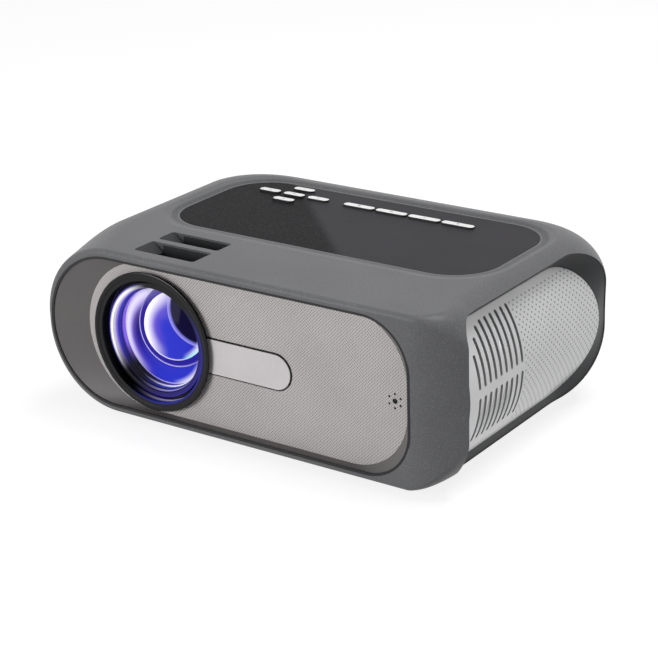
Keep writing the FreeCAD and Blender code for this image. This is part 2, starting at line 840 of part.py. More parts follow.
def build_front():
    """Dished bezel, grille, bare badge plate and the black ring round the lens."""
    bezel_front = f"{FRONT} + bezel_setback"
    plate = prism("bezel_block", "y", (bezel_front, GRILLE_FRONT),
                  bay(OPENING_X, OPENING_Z, "-fit_gap", "opening_right_corner"))
    lip = outline("bezel_lip_outline", "y", bezel_front,
                  bay(OPENING_X, OPENING_Z, "-bezel_lip", "opening_right_corner"))
    seat = outline("bezel_seat_outline", "y", GRILLE_FRONT, bay(GRILLE_X, GRILLE_Z, "0", "grille_right_corner"))
    keep("front_bezel", trim("bezel_body", plate, taper("bezel_dish", lip, seat)))

    grille = prism("grille_plate", "y", (GRILLE_FRONT, GRILLE_BACK),
                   bay(GRILLE_X, GRILLE_Z, "grille_flange", "grille_right_corner"))
    through = (f"{GRILLE_FRONT} - wall", f"{GRILLE_BACK} + wall")
    tools = [rod("grille_lens_hole", "y", "lens_ring_radius + fit_gap", through, AXIS)]
    badge_x = ("(lens_x + lens_ring_radius + fit_gap)", "(lens_x + lens_ring_radius + fit_gap + badge_length)")
    badge_z = ("badge_low", "(badge_low + badge_height)")
    recess = rounded(("lens_x", f"({badge_x[1]} + badge_gap)"), ("(badge_low - badge_gap)",
                     f"({badge_z[1]} + badge_gap)"), "0", "(badge_height / 2 + badge_gap)",
                     "(badge_height / 2 + badge_gap)", "0")
    recess_floor = f"{GRILLE_BACK} - badge_floor"
    tools.append(prism("badge_recess", "y", (f"{GRILLE_FRONT} - wall", recess_floor), recess))
    tools.append(rod("sensor_eye", "y", "sensor_hole", through, ("sensor_x", "sensor_z")))
    for number in range(6):
        turn = 60 * number + 30
        place_x = f"sensor_x + sensor_ring * {math.cos(math.radians(turn)):.6f}"
        place_z = f"sensor_z + sensor_ring * {math.sin(math.radians(turn)):.6f}"
        tools.append(rod(f"sensor_dot_{number}", "y", "sensor_dot", through, (place_x, place_z)))
    keep("front_grille", trim("grille_body", grille, *tools))

    badge = prism("badge_block", "y", (f"{recess_floor} - badge_thick", recess_floor),
                  rounded(("lens_x", badge_x[1]), badge_z, "0", "badge_height / 2", "badge_height / 2", "0"))
    ring_room = rod("badge_ring_room", "y", "lens_ring_radius + fit_gap", through, AXIS)
    keep("badge_plate", trim("badge_body", badge, ring_room))

    ring = tube("lens_ring_front", "y", "lens_ring_radius", "lens_ring_bore",
                (f"{FRONT} + lens_ring_front", GRILLE_BACK), AXIS)
    flange = tube("lens_ring_rear", "y", "lens_ring_radius + lens_ring_flange", "lens_ring_bore",
                  (GRILLE_BACK, f"{GRILLE_BACK} + lens_ring_back"), AXIS)
    keep("lens_ring", join("lens_ring_body", ring, flange))


def build_deck():
    """Deck panel with its key holes, the keys, and the switch board that hangs under the deck."""
    deck = prism("deck_plate", "z", (DECK_UNDER, DECK_TOP), plate_steps(DECK_X, DECK_Y, "0", "deck_corner"))
    holes, switches = [], []
    for name, x, y, length in key_places():
        cap_x, cap_y = around(x, f"{length} / 2"), around(y, "key_width / 2")
        holes.append(prism(f"{name}_hole", "z", (f"{DECK_UNDER} - wall", f"{DECK_TOP} + wall"),
                           plate_steps(cap_x, cap_y, "key_gap", "(key_width / 2 - slide_gap)")))
        cap = prism(f"{name}_cap", "z", (KEY_FLANGE_LOW, f"{DECK_TOP} + key_height"),
                    plate_steps(cap_x, cap_y, "0", "(key_width / 2 - slide_gap)"))
        flange = block(f"{name}_flange", around(x, f"{length} / 2 - key_width / 2"),
                       around(y, "key_width / 2 + key_flange_wide"), (KEY_FLANGE_LOW, KEY_FLANGE_TOP))
        keep(name, join(f"{name}_body", cap, flange))
        switches.append(block(f"{name}_switch", around(x, "switch_width / 2"), around(y, "switch_width / 2"),
                              (KEY_BOARD_TOP, f"{KEY_BOARD_TOP} + switch_height")))
    board_x = ("key_cross_x - key_pitch_x - key_length / 2 - key_board_margin",
               "bar_first_x + 3 * bar_pitch + bar_length / 2 + key_board_margin")
    board_y = around("key_row_y", "key_pitch_y + key_width / 2 + key_flange_wide")
    post_span = (KEY_BOARD_TOP, DECK_UNDER)
    posts = []
    post_x = ("key_cross_x - key_pitch_x + deck_post_radius", "(key_cross_x + bar_first_x) / 2",
              f"{board_x[1]} - 2 * deck_post_radius")
    post_y = {"front": f"{board_y[0]} + deck_post_radius", "rear": f"{board_y[1]} - deck_post_radius"}
    for number, x in enumerate(post_x):
        for row, y in post_y.items():
            posts.append(rod(f"deck_post_{row}_{number}", "z", "deck_post_radius", post_span, (x, y)))
    keep("deck_panel", join("deck_body", trim("deck_holed", deck, *holes), *posts))
    board = block("key_board_plate", board_x, board_y, (f"{KEY_BOARD_TOP} - key_board_thick", KEY_BOARD_TOP))
    keep("key_board", join("key_board_body", board, *switches))


@functools.lru_cache(maxsize=None)
def case_reach(sign, y, z):
    """How far the case's outer surface stands from X = 0 at a height and a depth, less the rim's inset."""
    ray = Part.makeLine(Vector(0, y, z), Vector(sign * value("body_width"), y, z))
    return ray.common(CASE.Shape).Length - value("rim_inset")


def panel_reach(sign, y, z):
    """How far the barrel-shaped vent panel's face stands from X = 0 at a height."""
    rise = z - value(MID)
    middle = value(f"{sign} * case_shift + body_width / 2 - panel_inset - panel_round")
    return middle + math.sqrt(value("panel_round") ** 2 - rise ** 2)


def wrap_outline(sketch, sign, reach, push=0.0):
    """Edges of a side outline laid on a curved face, one smooth curve for each edge of the outline."""
    stations = 9
    wrapped = []
    for edge in sketch.Shape.Edges:
        flat = edge.discretize(Number=stations)
        points = [Vector(sign * (reach(sign, p.y, p.z) - push), p.y, p.z) for p in flat]
        curve = Part.BSplineCurve()
        curve.interpolate(points)
        wrapped.append(curve.toShape())
    return wrapped


def ruled_ring(loops):
    """Closed solid whose section runs from loop to loop and back to the first."""
    faces = []
    for number, loop in enumerate(loops):
        for first, second in zip(loops[number - 1], loop):
            faces.append(Part.makeRuledSurface(first, second))
    shell = Part.makeShell(faces)
    shell.sewShape()
    solid = Part.makeSolid(shell)
    if solid.Volume < 0:
        solid.reverse()
    return solid


def build_side(side, sign, front):
    """Rim that slopes in from the case's edge, and the barrel-shaped vent panel inside it."""
    outer = outline(f"{side}_rim_outer", "x", "0", window_steps(front, "0"))
    inner = outline(f"{side}_rim_inner", "x", "0", panel_steps(front, "0"))
    doc.recompute()
    thick = value("rim_thick")
    loops = [wrap_outline(outer, sign, case_reach), wrap_outline(inner, sign, panel_reach),
             wrap_outline(inner, sign, panel_reach, thick), wrap_outline(outer, sign, case_reach, thick)]
    keep(f"{side}_rim", carve(f"{side}_rim_body", ruled_ring(loops)))

    span = side_span(sign)
    along = (front, "window_rear")
    centre = (f"case_shift + {sign} * (body_width / 2 - panel_inset - panel_round)", MID)
    face = "panel_round"
    back = "(panel_round - panel_thick)"
    skin = tube(f"{side}_panel_skin", "y", face, back, along, centre)
    plate = overlap(f"{side}_panel_plate", skin,
                    prism(f"{side}_panel_room", "x", span, panel_steps(front, "-fit_gap")))
    rear_skin = tube(f"{side}_flange_skin", "y", back, f"{back} - panel_flange", along, centre)
    flange_room = trim(f"{side}_flange_room",
                       prism(f"{side}_flange_out", "x", span, panel_steps(front, "panel_flange_edge")),
                       prism(f"{side}_flange_in", "x", span, panel_steps(front, "-panel_flange_edge")))
    flange = overlap(f"{side}_panel_flange", rear_skin, flange_room)
    slots = []
    bar = around(f"{MID} + vent_bar_z", "vent_bar / 2")
    for number in range(int(SIZES["vent_count"])):
        y = around(f"{front} + vent_first + {number} * vent_pitch", "vent_width / 2")
        short = max(int(SIZES["vent_short"]) - number, 0)
        high = (bar[1], f"{MID} + vent_high - {short ** 2} * vent_drop")
        low = (f"{MID} - vent_low", bar[0])
        for part, z in (("high", high), ("low", low)):
            slots.append(prism(f"{side}_vent_{part}_{number}", "x", span,
                               plate_steps(y, z, "0", "(vent_width / 2 - slide_gap)")))
    keep(f"{side}_vent_panel", trim(f"{side}_panel_body", join(f"{side}_panel_whole", plate, flange), *slots))


def build_ports():
    """Recessed port panel in the rear, its sockets, and the main board that carries them."""
    tray_y = (PORT_INNER, f"{BACK}")
    tray = prism("port_block", "y", tray_y, plate_steps(PORT_X, PORT_Z, "0", "port_corner"))
    shaped = overlap("port_shaped", tray, CASE)
    hollow = prism("port_hollow", "y", (PORT_FACE, f"{BACK} + wall"),
                   plate_steps(PORT_X, PORT_Z, "-port_plate", "port_corner"))
    board_rear = f"{PORT_INNER} - board_gap"
    post_y = (board_rear, PORT_INNER)
    posts = []
    for side, x in (("left", "main_board_left + post_radius"), ("right", "main_board_right - post_radius")):
        inside_x = f"max(port_left + 2 * post_radius; {x})" if side == "left" else x
        posts.append(rod(f"port_post_{side}", "y", "jack_bore", post_y, (inside_x, MID)))
    through = (f"{PORT_INNER} - wall", f"{PORT_FACE} + wall")
    socket_y = (board_rear, f"{PORT_FACE} + key_slack")
    cuts = [hollow]
    for name, x, width, height in (("hdmi", "hdmi_x", "hdmi_width", "hdmi_height"),
                                   ("usb", "usb_x", "usb_width", "usb_height")):
        span_x, span_z = around(x, f"{width} / 2"), around(MID, f"{height} / 2")
        cuts.append(block(f"{name}_cutout", grow(span_x, "fit_gap"), through, grow(span_z, "fit_gap")))
        shell = block(f"{name}_shell", span_x, socket_y, span_z)
        mouth_y = (f"{board_rear} + 2 * socket_wall", f"{PORT_FACE} + wall")
        mouth = block(f"{name}_mouth", grow(span_x, "-socket_wall"), mouth_y, grow(span_z, "-socket_wall"))
        tongue = block(f"{name}_tongue", grow(span_x, "-3 * socket_wall"),
                       (board_rear, f"{PORT_FACE} - socket_wall"), around(MID, "socket_wall"))
        keep(f"{name}_socket", join(f"{name}_body", trim(f"{name}_can", shell, mouth), tongue))
    for name, x in (("av", "av_jack_x"), ("phone", "phone_jack_x")):
        cuts.append(rod(f"{name}_cutout", "y", "jack_radius + fit_gap", through, (x, MID)))
        barrel = rod(f"{name}_barrel", "y", "jack_radius", socket_y, (x, MID))
        mouth = rod(f"{name}_mouth", "y", "jack_bore", (f"{PORT_FACE} - jack_depth", f"{PORT_FACE} + wall"),
                    (x, MID))
        keep(f"{name}_jack", trim(f"{name}_jack_body", barrel, mouth))

    inlet_x, inlet_z = around("inlet_x", "inlet_width / 2"), around(MID, "inlet_height / 2")
    cuts.append(prism("inlet_cutout", "y", through, plate_steps(inlet_x, inlet_z, "fit_gap", "socket_wall")))
    shell = prism("inlet_shell", "y", (f"{PORT_FACE} - inlet_depth", f"{PORT_FACE} + key_slack"),
                  plate_steps(inlet_x, inlet_z, "0", "socket_wall"))
    flange = block("inlet_flange", grow(inlet_x, "inlet_wall"),
                   (f"{PORT_INNER} - inlet_wall", PORT_INNER), grow(inlet_z, "inlet_wall"))
    mouth = prism("inlet_mouth", "y", (f"{PORT_FACE} - inlet_depth + inlet_wall", f"{PORT_FACE} + wall"),
                  plate_steps(inlet_x, inlet_z, "-inlet_wall", "inlet_height / 2 - slide_gap"))
    pins = []
    for side, sign in (("left", "-"), ("right", "+")):
        pins.append(rod(f"inlet_pin_{side}", "y", "inlet_pin",
                        (f"{PORT_FACE} - inlet_depth", f"{PORT_FACE} - inlet_wall"),
                        (f"inlet_x {sign} inlet_pin_apart / 2", MID)))
    hollowed = trim("inlet_hollowed", join("inlet_solid", shell, flange), mouth)
    keep("power_inlet", join("inlet_body", hollowed, *pins))
    keep("port_panel", join("port_panel_body", trim("port_panel_cut", shaped, *cuts), *posts))

    board_z = around(MID, "main_board_half_height")
    plate = block("main_board_plate", ("main_board_left", "main_board_right"),
                  (f"{board_rear} - board_thick", board_rear), board_z)
    chip_y = (f"{board_rear} - 2 * board_thick", f"{board_rear} - board_thick")
    chips = [block(f"chip_{number}", around(x, "usb_width / 2"), chip_y, around(MID, "usb_width / 2"))
             for number, x in enumerate(("hdmi_x", "phone_jack_x"))]
    keep("main_board", join("main_board_body", plate, *chips))


def behind(low, high):
    """Span along Y between two depths behind the front plane."""
    return f"{FRONT} + {low}", f"{FRONT} + {high}"


def rings(body, name, radii, level="0"):
    """Sketch of circles round a body's own axis."""
    sketch = body.newObject("Sketcher::SketchObject", name)
    bind(sketch, Placement__Base__z=level)
    for number, radius in enumerate(radii):
        sketch.addGeometry(Part.Circle(Vector(), AXES["z"], value(radius)))
        sketch.addConstraint(Sketcher.Constraint("Coincident", number, 3, -1, 1))
        index = sketch.addConstraint(Sketcher.Constraint("Radius", number, value(radius)))
        sketch.setExpression(f"Constraints[{index}]", expand(radius))
    return sketch


def pad(body, name, sketch, length, backwards=False):
    """Sketch drawn out into material."""
    thing = body.newObject("PartDesign::Pad", name)
    thing.Profile = sketch
    thing.Reversed = backwards
    bind(thing, Length=length)
    doc.recompute()
    return thing


def pocket(body, name, sketch, length, backwards=False):
    """Sketch drawn out into a cut."""
    thing = body.newObject("PartDesign::Pocket", name)
    thing.Profile = sketch
    thing.Reversed = backwards
    bind(thing, Length=length)
    doc.recompute()
    return thing


def around_axis(body, name, feature, sketch, count):
    """Feature repeated round a body's own axis."""
    thing = body.newObject("PartDesign::PolarPattern", name)
    thing.Originals = [feature]
    thing.Axis = (sketch, ["N_Axis"])
    thing.Angle = 360
    bind(thing, Occurrences=count)
    body.Tip = thing
    doc.recompute()
    return thing


def ribbed_wheel(label, span, bore, hub_length=None):
    """Thumb wheel on the lens axis with notches round its rim, and a lower hub behind it."""
    body = doc.addObject("PartDesign::Body", f"{label}_body")
    body.Placement = Placement(Vector(), TURNS["y"])
    place(body, "lens_x", span[0], "lens_z")
    face = rings(body, f"{label}_face", ["wheel_radius", bore])
    width = between(*span)
    pad(body, f"{label}_rim", face, width)
    if hub_length:
        pad(body, f"{label}_hub", rings(body, f"{label}_hub_face", ["hub_radius", bore]), hub_length)
    half = value("rib_gap_width / 2")
    low, high = value("wheel_radius - wheel_rib"), value("wheel_radius + wheel_rib")
    notch = body.newObject("Sketcher::SketchObject", f"{label}_notch")
    corners = [Vector(half, low, 0), Vector(half, high, 0), Vector(-half, high, 0), Vector(-half, low, 0)]
    for number, corner in enumerate(corners):
        notch.addGeometry(Part.LineSegment(corners[number - 1], corner))
    for number in range(4):
        notch.addConstraint(Sketcher.Constraint("Coincident", number, 2, (number + 1) % 4, 1))
    limits = ("rib_gap_width / 2", "-rib_gap_width / 2")
    rises = ("wheel_radius - wheel_rib", "wheel_radius + wheel_rib")
    for number, (x, y) in enumerate(((0, 0), (0, 1), (1, 1), (1, 0))):
        for kind, text in (("DistanceX", limits[x]), ("DistanceY", rises[y])):
            index = notch.addConstraint(Sketcher.Constraint(kind, -1, 1, number, 2, value(text)))
            notch.setExpression(f"Constraints[{index}]", expand(text))
    cut = pocket(body, f"{label}_notch_cut", notch, width, backwards=True)
    around_axis(body, f"{label}_notches", cut, face, "wheel_ribs")
    keep(label, body)


def build_lens():
    """Lens barrel with its glasses, the tilting cradle, both thumb wheels and the bracket that holds them."""
    collar_bore = "(barrel_radius + slide_gap)"
    collar_radius = "(barrel_radius + slide_gap + collar_wall)"
    front_edge = "(barrel_front + front_lens_recess)"
    seat = f"({front_edge} + front_lens_edge)"
    shell = rod("barrel_outside", "y", "barrel_radius",
                behind("barrel_front", "barrel_front + barrel_length"), AXIS)
    mouth = rod("barrel_mouth", "y", "front_lens_radius + slide_gap", behind("0", seat), AXIS)
    bore = rod("barrel_bore", "y", "barrel_bore",
               behind(front_edge, "barrel_front + barrel_length + wall"), AXIS)
    middle_ridge = "middle_lens_y + inner_lens_thick"
    ridges = []
    for name, low in (("middle", middle_ridge), ("rear", "rear_lens_y - ridge_thick")):
        ridges.append(tube(f"{name}_ridge", "y", "barrel_radius - ridge_depth", "barrel_bore - ridge_depth",
                           behind(low, f"{low} + ridge_thick"), AXIS))
    keep("lens_barrel", join("lens_barrel_body", trim("barrel_hollow", shell, mouth, bore), *ridges))

    front_ball_y = f"{FRONT} + {front_edge} + sqrt(front_lens_curve ^ 2 - front_lens_radius ^ 2)"
    blank = rod("front_lens_blank", "y", "front_lens_radius", behind("barrel_front", seat), AXIS)
    front_ball = ball("front_lens_ball", "front_lens_curve", "lens_x", front_ball_y, "lens_z")
    keep("front_lens", overlap("front_lens_body", blank, front_ball))
    for name, low, sign in (("middle", "middle_lens_y", 1), ("rear", "rear_lens_y", -1)):
        high = f"{low} + inner_lens_thick"
        apex = low if sign > 0 else high
        glass = rod(f"{name}_lens_blank", "y", "barrel_bore - fit_gap", behind(low, high), AXIS)
        face = ball(f"{name}_lens_ball", "inner_lens_curve", "lens_x",
                    f"{FRONT} + {apex} + {sign} * inner_lens_curve", "lens_z")
        keep(f"{name}_lens", overlap(f"{name}_lens_body", glass, face))
    retainer_rear = f"{front_edge} - retainer_gap"
    keep("lens_retainer", tube("retainer_body", "y", "front_lens_radius", "front_lens_radius - retainer_width",
                               behind(f"{retainer_rear} - retainer_thick", retainer_rear), AXIS))

    collar = tube("cradle_collar", "y", collar_radius, collar_bore, behind("collar_front", "collar_rear"), AXIS)
    lip = tube("cradle_lip", "y", f"{collar_radius} + collar_lip", collar_bore,
               behind("collar_front", "collar_front + collar_lip_thick"), AXIS)
    flange = tube("cradle_flange", "y", "cradle_flange_radius", collar_bore,
                  around(PIVOT[0], "cradle_flange_thick / 2"), AXIS)
    ear_near, ear_far = "(wheel_radius + ear_gap)", "(wheel_radius + ear_gap + ear_thick)"
    pin_near, pin_far = "(cradle_flange_radius - ear_thick)", f"({ear_far} - fit_gap)"
    pins = [rod("cradle_pin_left", "x", "pivot_radius", (f"lens_x - {pin_far}", f"lens_x - {pin_near}"), PIVOT),
            rod("cradle_pin_right", "x", "pivot_radius", (f"lens_x + {pin_near}", f"lens_x + {pin_far}"), PIVOT)]
    keep("lens_cradle", join("cradle_body", collar, lip, flange, *pins))

    focus_y = around(WHEELS["focus"][0], WHEELS["focus"][1])
    hub_end = f"{PIVOT[0]} - pivot_radius - hub_gap"
    ribbed_wheel("focus_wheel", focus_y, f"{collar_radius} + slide_gap", between(focus_y[0], hub_end))
    hole = f"({collar_radius} + tilt_room)"
    carrier_radius = f"({hole} + carrier_wall)"
    keystone_y = around(WHEELS["keystone"][0], WHEELS["keystone"][1])
    ribbed_wheel("keystone_wheel", keystone_y, f"{carrier_radius} + slide_gap")

    plate_y = behind("bracket_y", "bracket_y + bracket_thick")
    solids = [rod("bracket_disc", "y", "bracket_radius", plate_y, AXIS),
              rod("bracket_carrier", "y", carrier_radius, behind("carrier_front", "bracket_y"), AXIS),
              block("bracket_foot", ("lens_x - bracket_foot_left", "lens_x + bracket_foot_right"), plate_y,
                    (FLOOR, "lens_z - bracket_radius + 2 * bracket_thick"))]
    hole_span = behind("carrier_front - wall", "bracket_y + bracket_thick + wall")
    cuts = [rod("bracket_hole", "y", hole, hole_span, AXIS)]
    link_near = "(bracket_radius - bracket_thick)"
    ear_z = around("lens_z", "ear_half_height")
    for side, sign in (("left", "-"), ("right", "+")):
        near_x, far_x = f"lens_x {sign} {ear_near}", f"lens_x {sign} {ear_far}"
        link_x = f"lens_x {sign} {link_near}"
        ear_x = (far_x, near_x) if side == "left" else (near_x, far_x)
        tie_x = (far_x, link_x) if side == "left" else (link_x, far_x)
        ear_y = behind("pivot_y - pivot_radius - collar_wall", "bracket_y + bracket_thick")
        solids.append(block(f"bracket_ear_{side}", ear_x, ear_y, ear_z))
        solids.append(block(f"bracket_tie_{side}", tie_x, plate_y, ear_z))
        cuts.append(rod(f"bracket_pivot_{side}", "x", "pivot_radius + slide_gap", ear_x, PIVOT))
    keep("lens_bracket", trim("bracket_body", join("bracket_solid", *solids), *cuts))


def build_engine():
    """Light box with its mirror, panel, sheets and condenser, closed by the lamp module and its heat sink."""
    end = "(engine_left + engine_length)"
    out_y, out_z = around("engine_y", "engine_half_depth"), around(MID, "engine_half_height")
    in_y, in_z = grow(out_y, "-engine_wall"), grow(out_z, "-engine_wall")
    shell = block("light_box_outside", ("engine_left", end), out_y, out_z)
    hollow = block("light_box_inside", ("engine_left + engine_wall", f"{end} + engine_wall"), in_y, in_z)
    mouth = rod("light_box_mouth", "y", "barrel_radius - ridge_depth",
                (f"{out_y[0]} - engine_wall", f"{out_y[0]} + 2 * engine_wall"), AXIS)
    sheets = {"front_fresnel": "front_fresnel_x", "lcd_panel": "lcd_x", "rear_fresnel": "rear_fresnel_x",
              "heat_glass": "heat_glass_x"}
    cuts = [hollow, mouth]
    for label, x in sheets.items():
        sheet_box = (x, f"{x} + sheet_thick"), grow(in_y, "groove"), grow(in_z, "groove")
        cuts.append(block(f"{label}_groove", *sheet_box))
        keep(label, block(f"{label}_body", *sheet_box))
    legs = []
    for side in ("left", "right"):
        for row in ("front", "rear"):
            legs.append(block(f"light_box_leg_{side}_{row}", around(f"leg_{side}_x", "leg_half_width"),
                              around(f"leg_{row}_y", "leg_half_depth"), (FLOOR, out_z[0])))
    seat_plate = block("condenser_seat", ("condenser_x - condenser_seat", "condenser_x"), in_y, in_z)
    seat_hole = rod("condenser_hole", "x", "condenser_radius - retainer_width",
                    ("condenser_x - 2 * condenser_seat", "condenser_x + condenser_seat"), ("engine_y", MID))
    seat = trim("condenser_seat_plate", seat_plate, seat_hole)
    keep("light_box", join("light_box_body", trim("light_box_hollow", shell, *cuts), seat, *legs))

    mirror = doc.addObject("Part::Box", "mirror_body")
    mirror.Placement = Placement(Vector(), Rotation(AXES["z"], 45))
    bind(mirror, Length="mirror_length", Width="mirror_thick", Height=between(*in_z))
    place(mirror, "lens_x - (mirror_length - mirror_thick) / 2 * sqrt(0.5)",
          "engine_y - (mirror_length + mirror_thick) / 2 * sqrt(0.5)", in_z[0])
    keep("fold_mirror", mirror)

    blank = rod("condenser_blank", "x", "condenser_radius",
                ("condenser_x", "condenser_x + condenser_edge + condenser_curve"), ("engine_y", MID))
    ball_x = "condenser_x + condenser_edge - sqrt(condenser_curve ^ 2 - condenser_radius ^ 2)"
    keep("condenser_lens", overlap("condenser_body", blank,
                                   ball("condenser_ball", "condenser_curve", ball_x, "engine_y", MID)))
    board = block("led_board", (end, f"{end} + led_board_thick"), out_y, out_z)
    chip = block("led_chip_block", (f"{end} - led_chip", end), around("engine_y", "led_half"),
                 around(MID, "led_half"))
    keep("led_module", join("led_module_body", board, chip))

    sink_x = f"{end} + led_board_thick"
    body = doc.addObject("PartDesign::Body", "heat_sink_body")
    base = outline("sink_base_outline", "x", sink_x, rounded(out_y, out_z, "0"))
    fin_y = (out_y[0], f"{out_y[0]} + fin_thick")
    fin = outline("sink_fin_outline", "x", f"{sink_x} + sink_base", rounded(fin_y, out_z, "0"))
    body.addObject(base)
    body.addObject(fin)
    pad(body, "sink_plate", base, "sink_base")
    first_fin = pad(body, "sink_fin", fin, "sink_depth")
    row = body.newObject("PartDesign::LinearPattern", "sink_fin_row")
    row.Originals = [first_fin]
    row.Direction = (fin, ["H_Axis"])
    bind(row, Length="2 * engine_half_depth - fin_thick", Occurrences="sink_fins")
    body.Tip = row
    doc.recompute()
    keep("heat_sink", body)


def build_fan():
    """Fan frame with its motor plate and shaft, and the bladed rotor."""
    span = ("fan_x", "(fan_x + fan_thick)")
    plate_x = (f"{span[1]} - fan_plate", span[1])
    cross = ("fan_y", MID)
    half = "fan_size / 2"
    square = block("fan_square", span, around("fan_y", half), around(MID, half))
    ring = trim("fan_ring", square, rod("fan_bore", "x", "fan_bore", grow(span, "wall"), cross))
    plate = rod("fan_motor_plate", "x", "fan_hub", plate_x, cross)
    arms = [block("fan_arm_down", plate_x, around("fan_y", "fan_arm / 2"), (f"{MID} - {half}", MID)),
            block("fan_arm_front", plate_x, (f"fan_y - {half}", "fan_y"), around(MID, "fan_arm / 2")),
            block("fan_arm_rear", plate_x, ("fan_y", f"fan_y + {half}"), around(MID, "fan_arm / 2"))]
    shaft_x = f"{plate_x[0]} - fan_shaft_length"
    shaft = rod("fan_shaft_rod", "x", "fan_shaft", (shaft_x, plate_x[0]), cross)
    keep("fan_frame", join("fan_frame_body", ring, plate, *arms, shaft))

    hub_x = (f"{span[0]} + fan_hub_front", f"{plate_x[0]} - fan_hub_gap")
    body = doc.addObject("PartDesign::Body", "fan_rotor_body")
    body.Placement = Placement(Vector(), TURNS["x"])
    place(body, hub_x[0], *cross)
    hub_face = rings(body, "fan_hub_face", ["fan_hub"])
    pad(body, "fan_hub_pad", hub_face, between(*hub_x))
    reach = f"({between(*hub_x)} - 2 * fan_blade_margin)"
    shift = f"({reach} / tan(fan_blade_pitch * 1 deg))"
    width = "(fan_blade_thick / sin(fan_blade_pitch * 1 deg))"
    low, high = "fan_blade_margin", f"fan_blade_margin + {reach}"
    blade_face = outline("fan_blade_face", "y", "0", [
        (f"-{shift} / 2 - {width} / 2", low), (f"-{shift} / 2 + {width} / 2", low),
        (f"{shift} / 2 + {width} / 2", high), (f"{shift} / 2 - {width} / 2", high)])
    body.addObject(blade_face)
    blade = pad(body, "fan_blade", blade_face, "fan_bore", backwards=True)
    around_axis(body, "fan_blades_pattern", blade, hub_face, "fan_blades")
    tip_face = rings(body, "fan_tip_face", ["fan_bore - fan_blade_gap", "2 * fan_bore"])
    pocket(body, "fan_tip_cut", tip_face, between(*hub_x), backwards=True)
    bore_low = f"{between(hub_x[0], shaft_x)} - slide_gap"
    bore_face = rings(body, "fan_bore_face", ["fan_shaft + slide_gap"], bore_low)
    pocket(body, "fan_bore_cut", bore_face, between(*hub_x), backwards=True)
    keep("fan_rotor", body)


def build_electrics():
    """Power board, speaker and remote sensor."""
    board_x, board_y = ("power_board_left", "power_board_right"), ("power_board_front", "power_board_rear")
    board_z = (f"{FLOOR} + power_board_height", f"({FLOOR} + power_board_height + board_thick)")
    plate = block("power_board_plate", board_x, board_y, board_z)
    parts = [block("transformer", around("transformer_x", "transformer_half"),
                   around("transformer_y", "transformer_half"), (board_z[1], f"{board_z[1]} + transformer_height"))]
    for name, y in (("front", "power_board_front + 2 * capacitor_radius"),
                    ("rear", "power_board_rear - 2 * capacitor_radius")):
        parts.append(rod(f"capacitor_{name}", "z", "capacitor_radius",
                         (board_z[1], f"{board_z[1]} + capacitor_height"), ("capacitor_x", y)))
    keep("power_board", join("power_board_body", plate, *parts))

    cross = ("speaker_x", "lens_z")
    start = GRILLE_BACK
    flange = rod("speaker_flange_disc", "y", "speaker_radius + speaker_flange",
                 (start, f"{start} + speaker_flange"), cross)
    basket = rod("speaker_basket", "y", "speaker_radius", (start, f"{start} + speaker_basket_depth"), cross,
                 "speaker_magnet")
    magnet = rod("speaker_magnet_disc", "y", "speaker_magnet",
                 (f"{start} + speaker_magnet_front", f"{start} + speaker_depth"), cross)
    cone = rod("speaker_cone", "y", "speaker_radius - speaker_flange", (start, f"{start} + speaker_cone_depth"),
               cross, "speaker_magnet / 2")
    cap = ball("speaker_cap", "speaker_magnet / 2", "speaker_x", f"{start} + speaker_magnet_front", "lens_z")
    hollowed = trim("speaker_hollow", join("speaker_solid", flange, basket, magnet), cone)
    keep("speaker", join("speaker_body", hollowed, cap))

    sensor_x, sensor_z = around("sensor_x", "sensor_body / 2"), around("sensor_z", "sensor_body / 2")
    eye = rod("sensor_lens", "y", "sensor_hole - slide_gap", (f"{GRILLE_FRONT} + badge_floor", GRILLE_BACK),
              ("sensor_x", "sensor_z"))
    case = block("sensor_case", sensor_x, (GRILLE_BACK, f"{GRILLE_BACK} + sensor_body / 2"), sensor_z)
    rear = block("sensor_board_plate", around("sensor_x", "sensor_board / 2"),
                 (f"{GRILLE_BACK} + sensor_body / 2", f"{GRILLE_BACK} + sensor_body / 2 + board_thick"),
                 around("sensor_z", "sensor_board / 2"))
    keep("ir_receiver", join("ir_receiver_body", eye, case, rear))


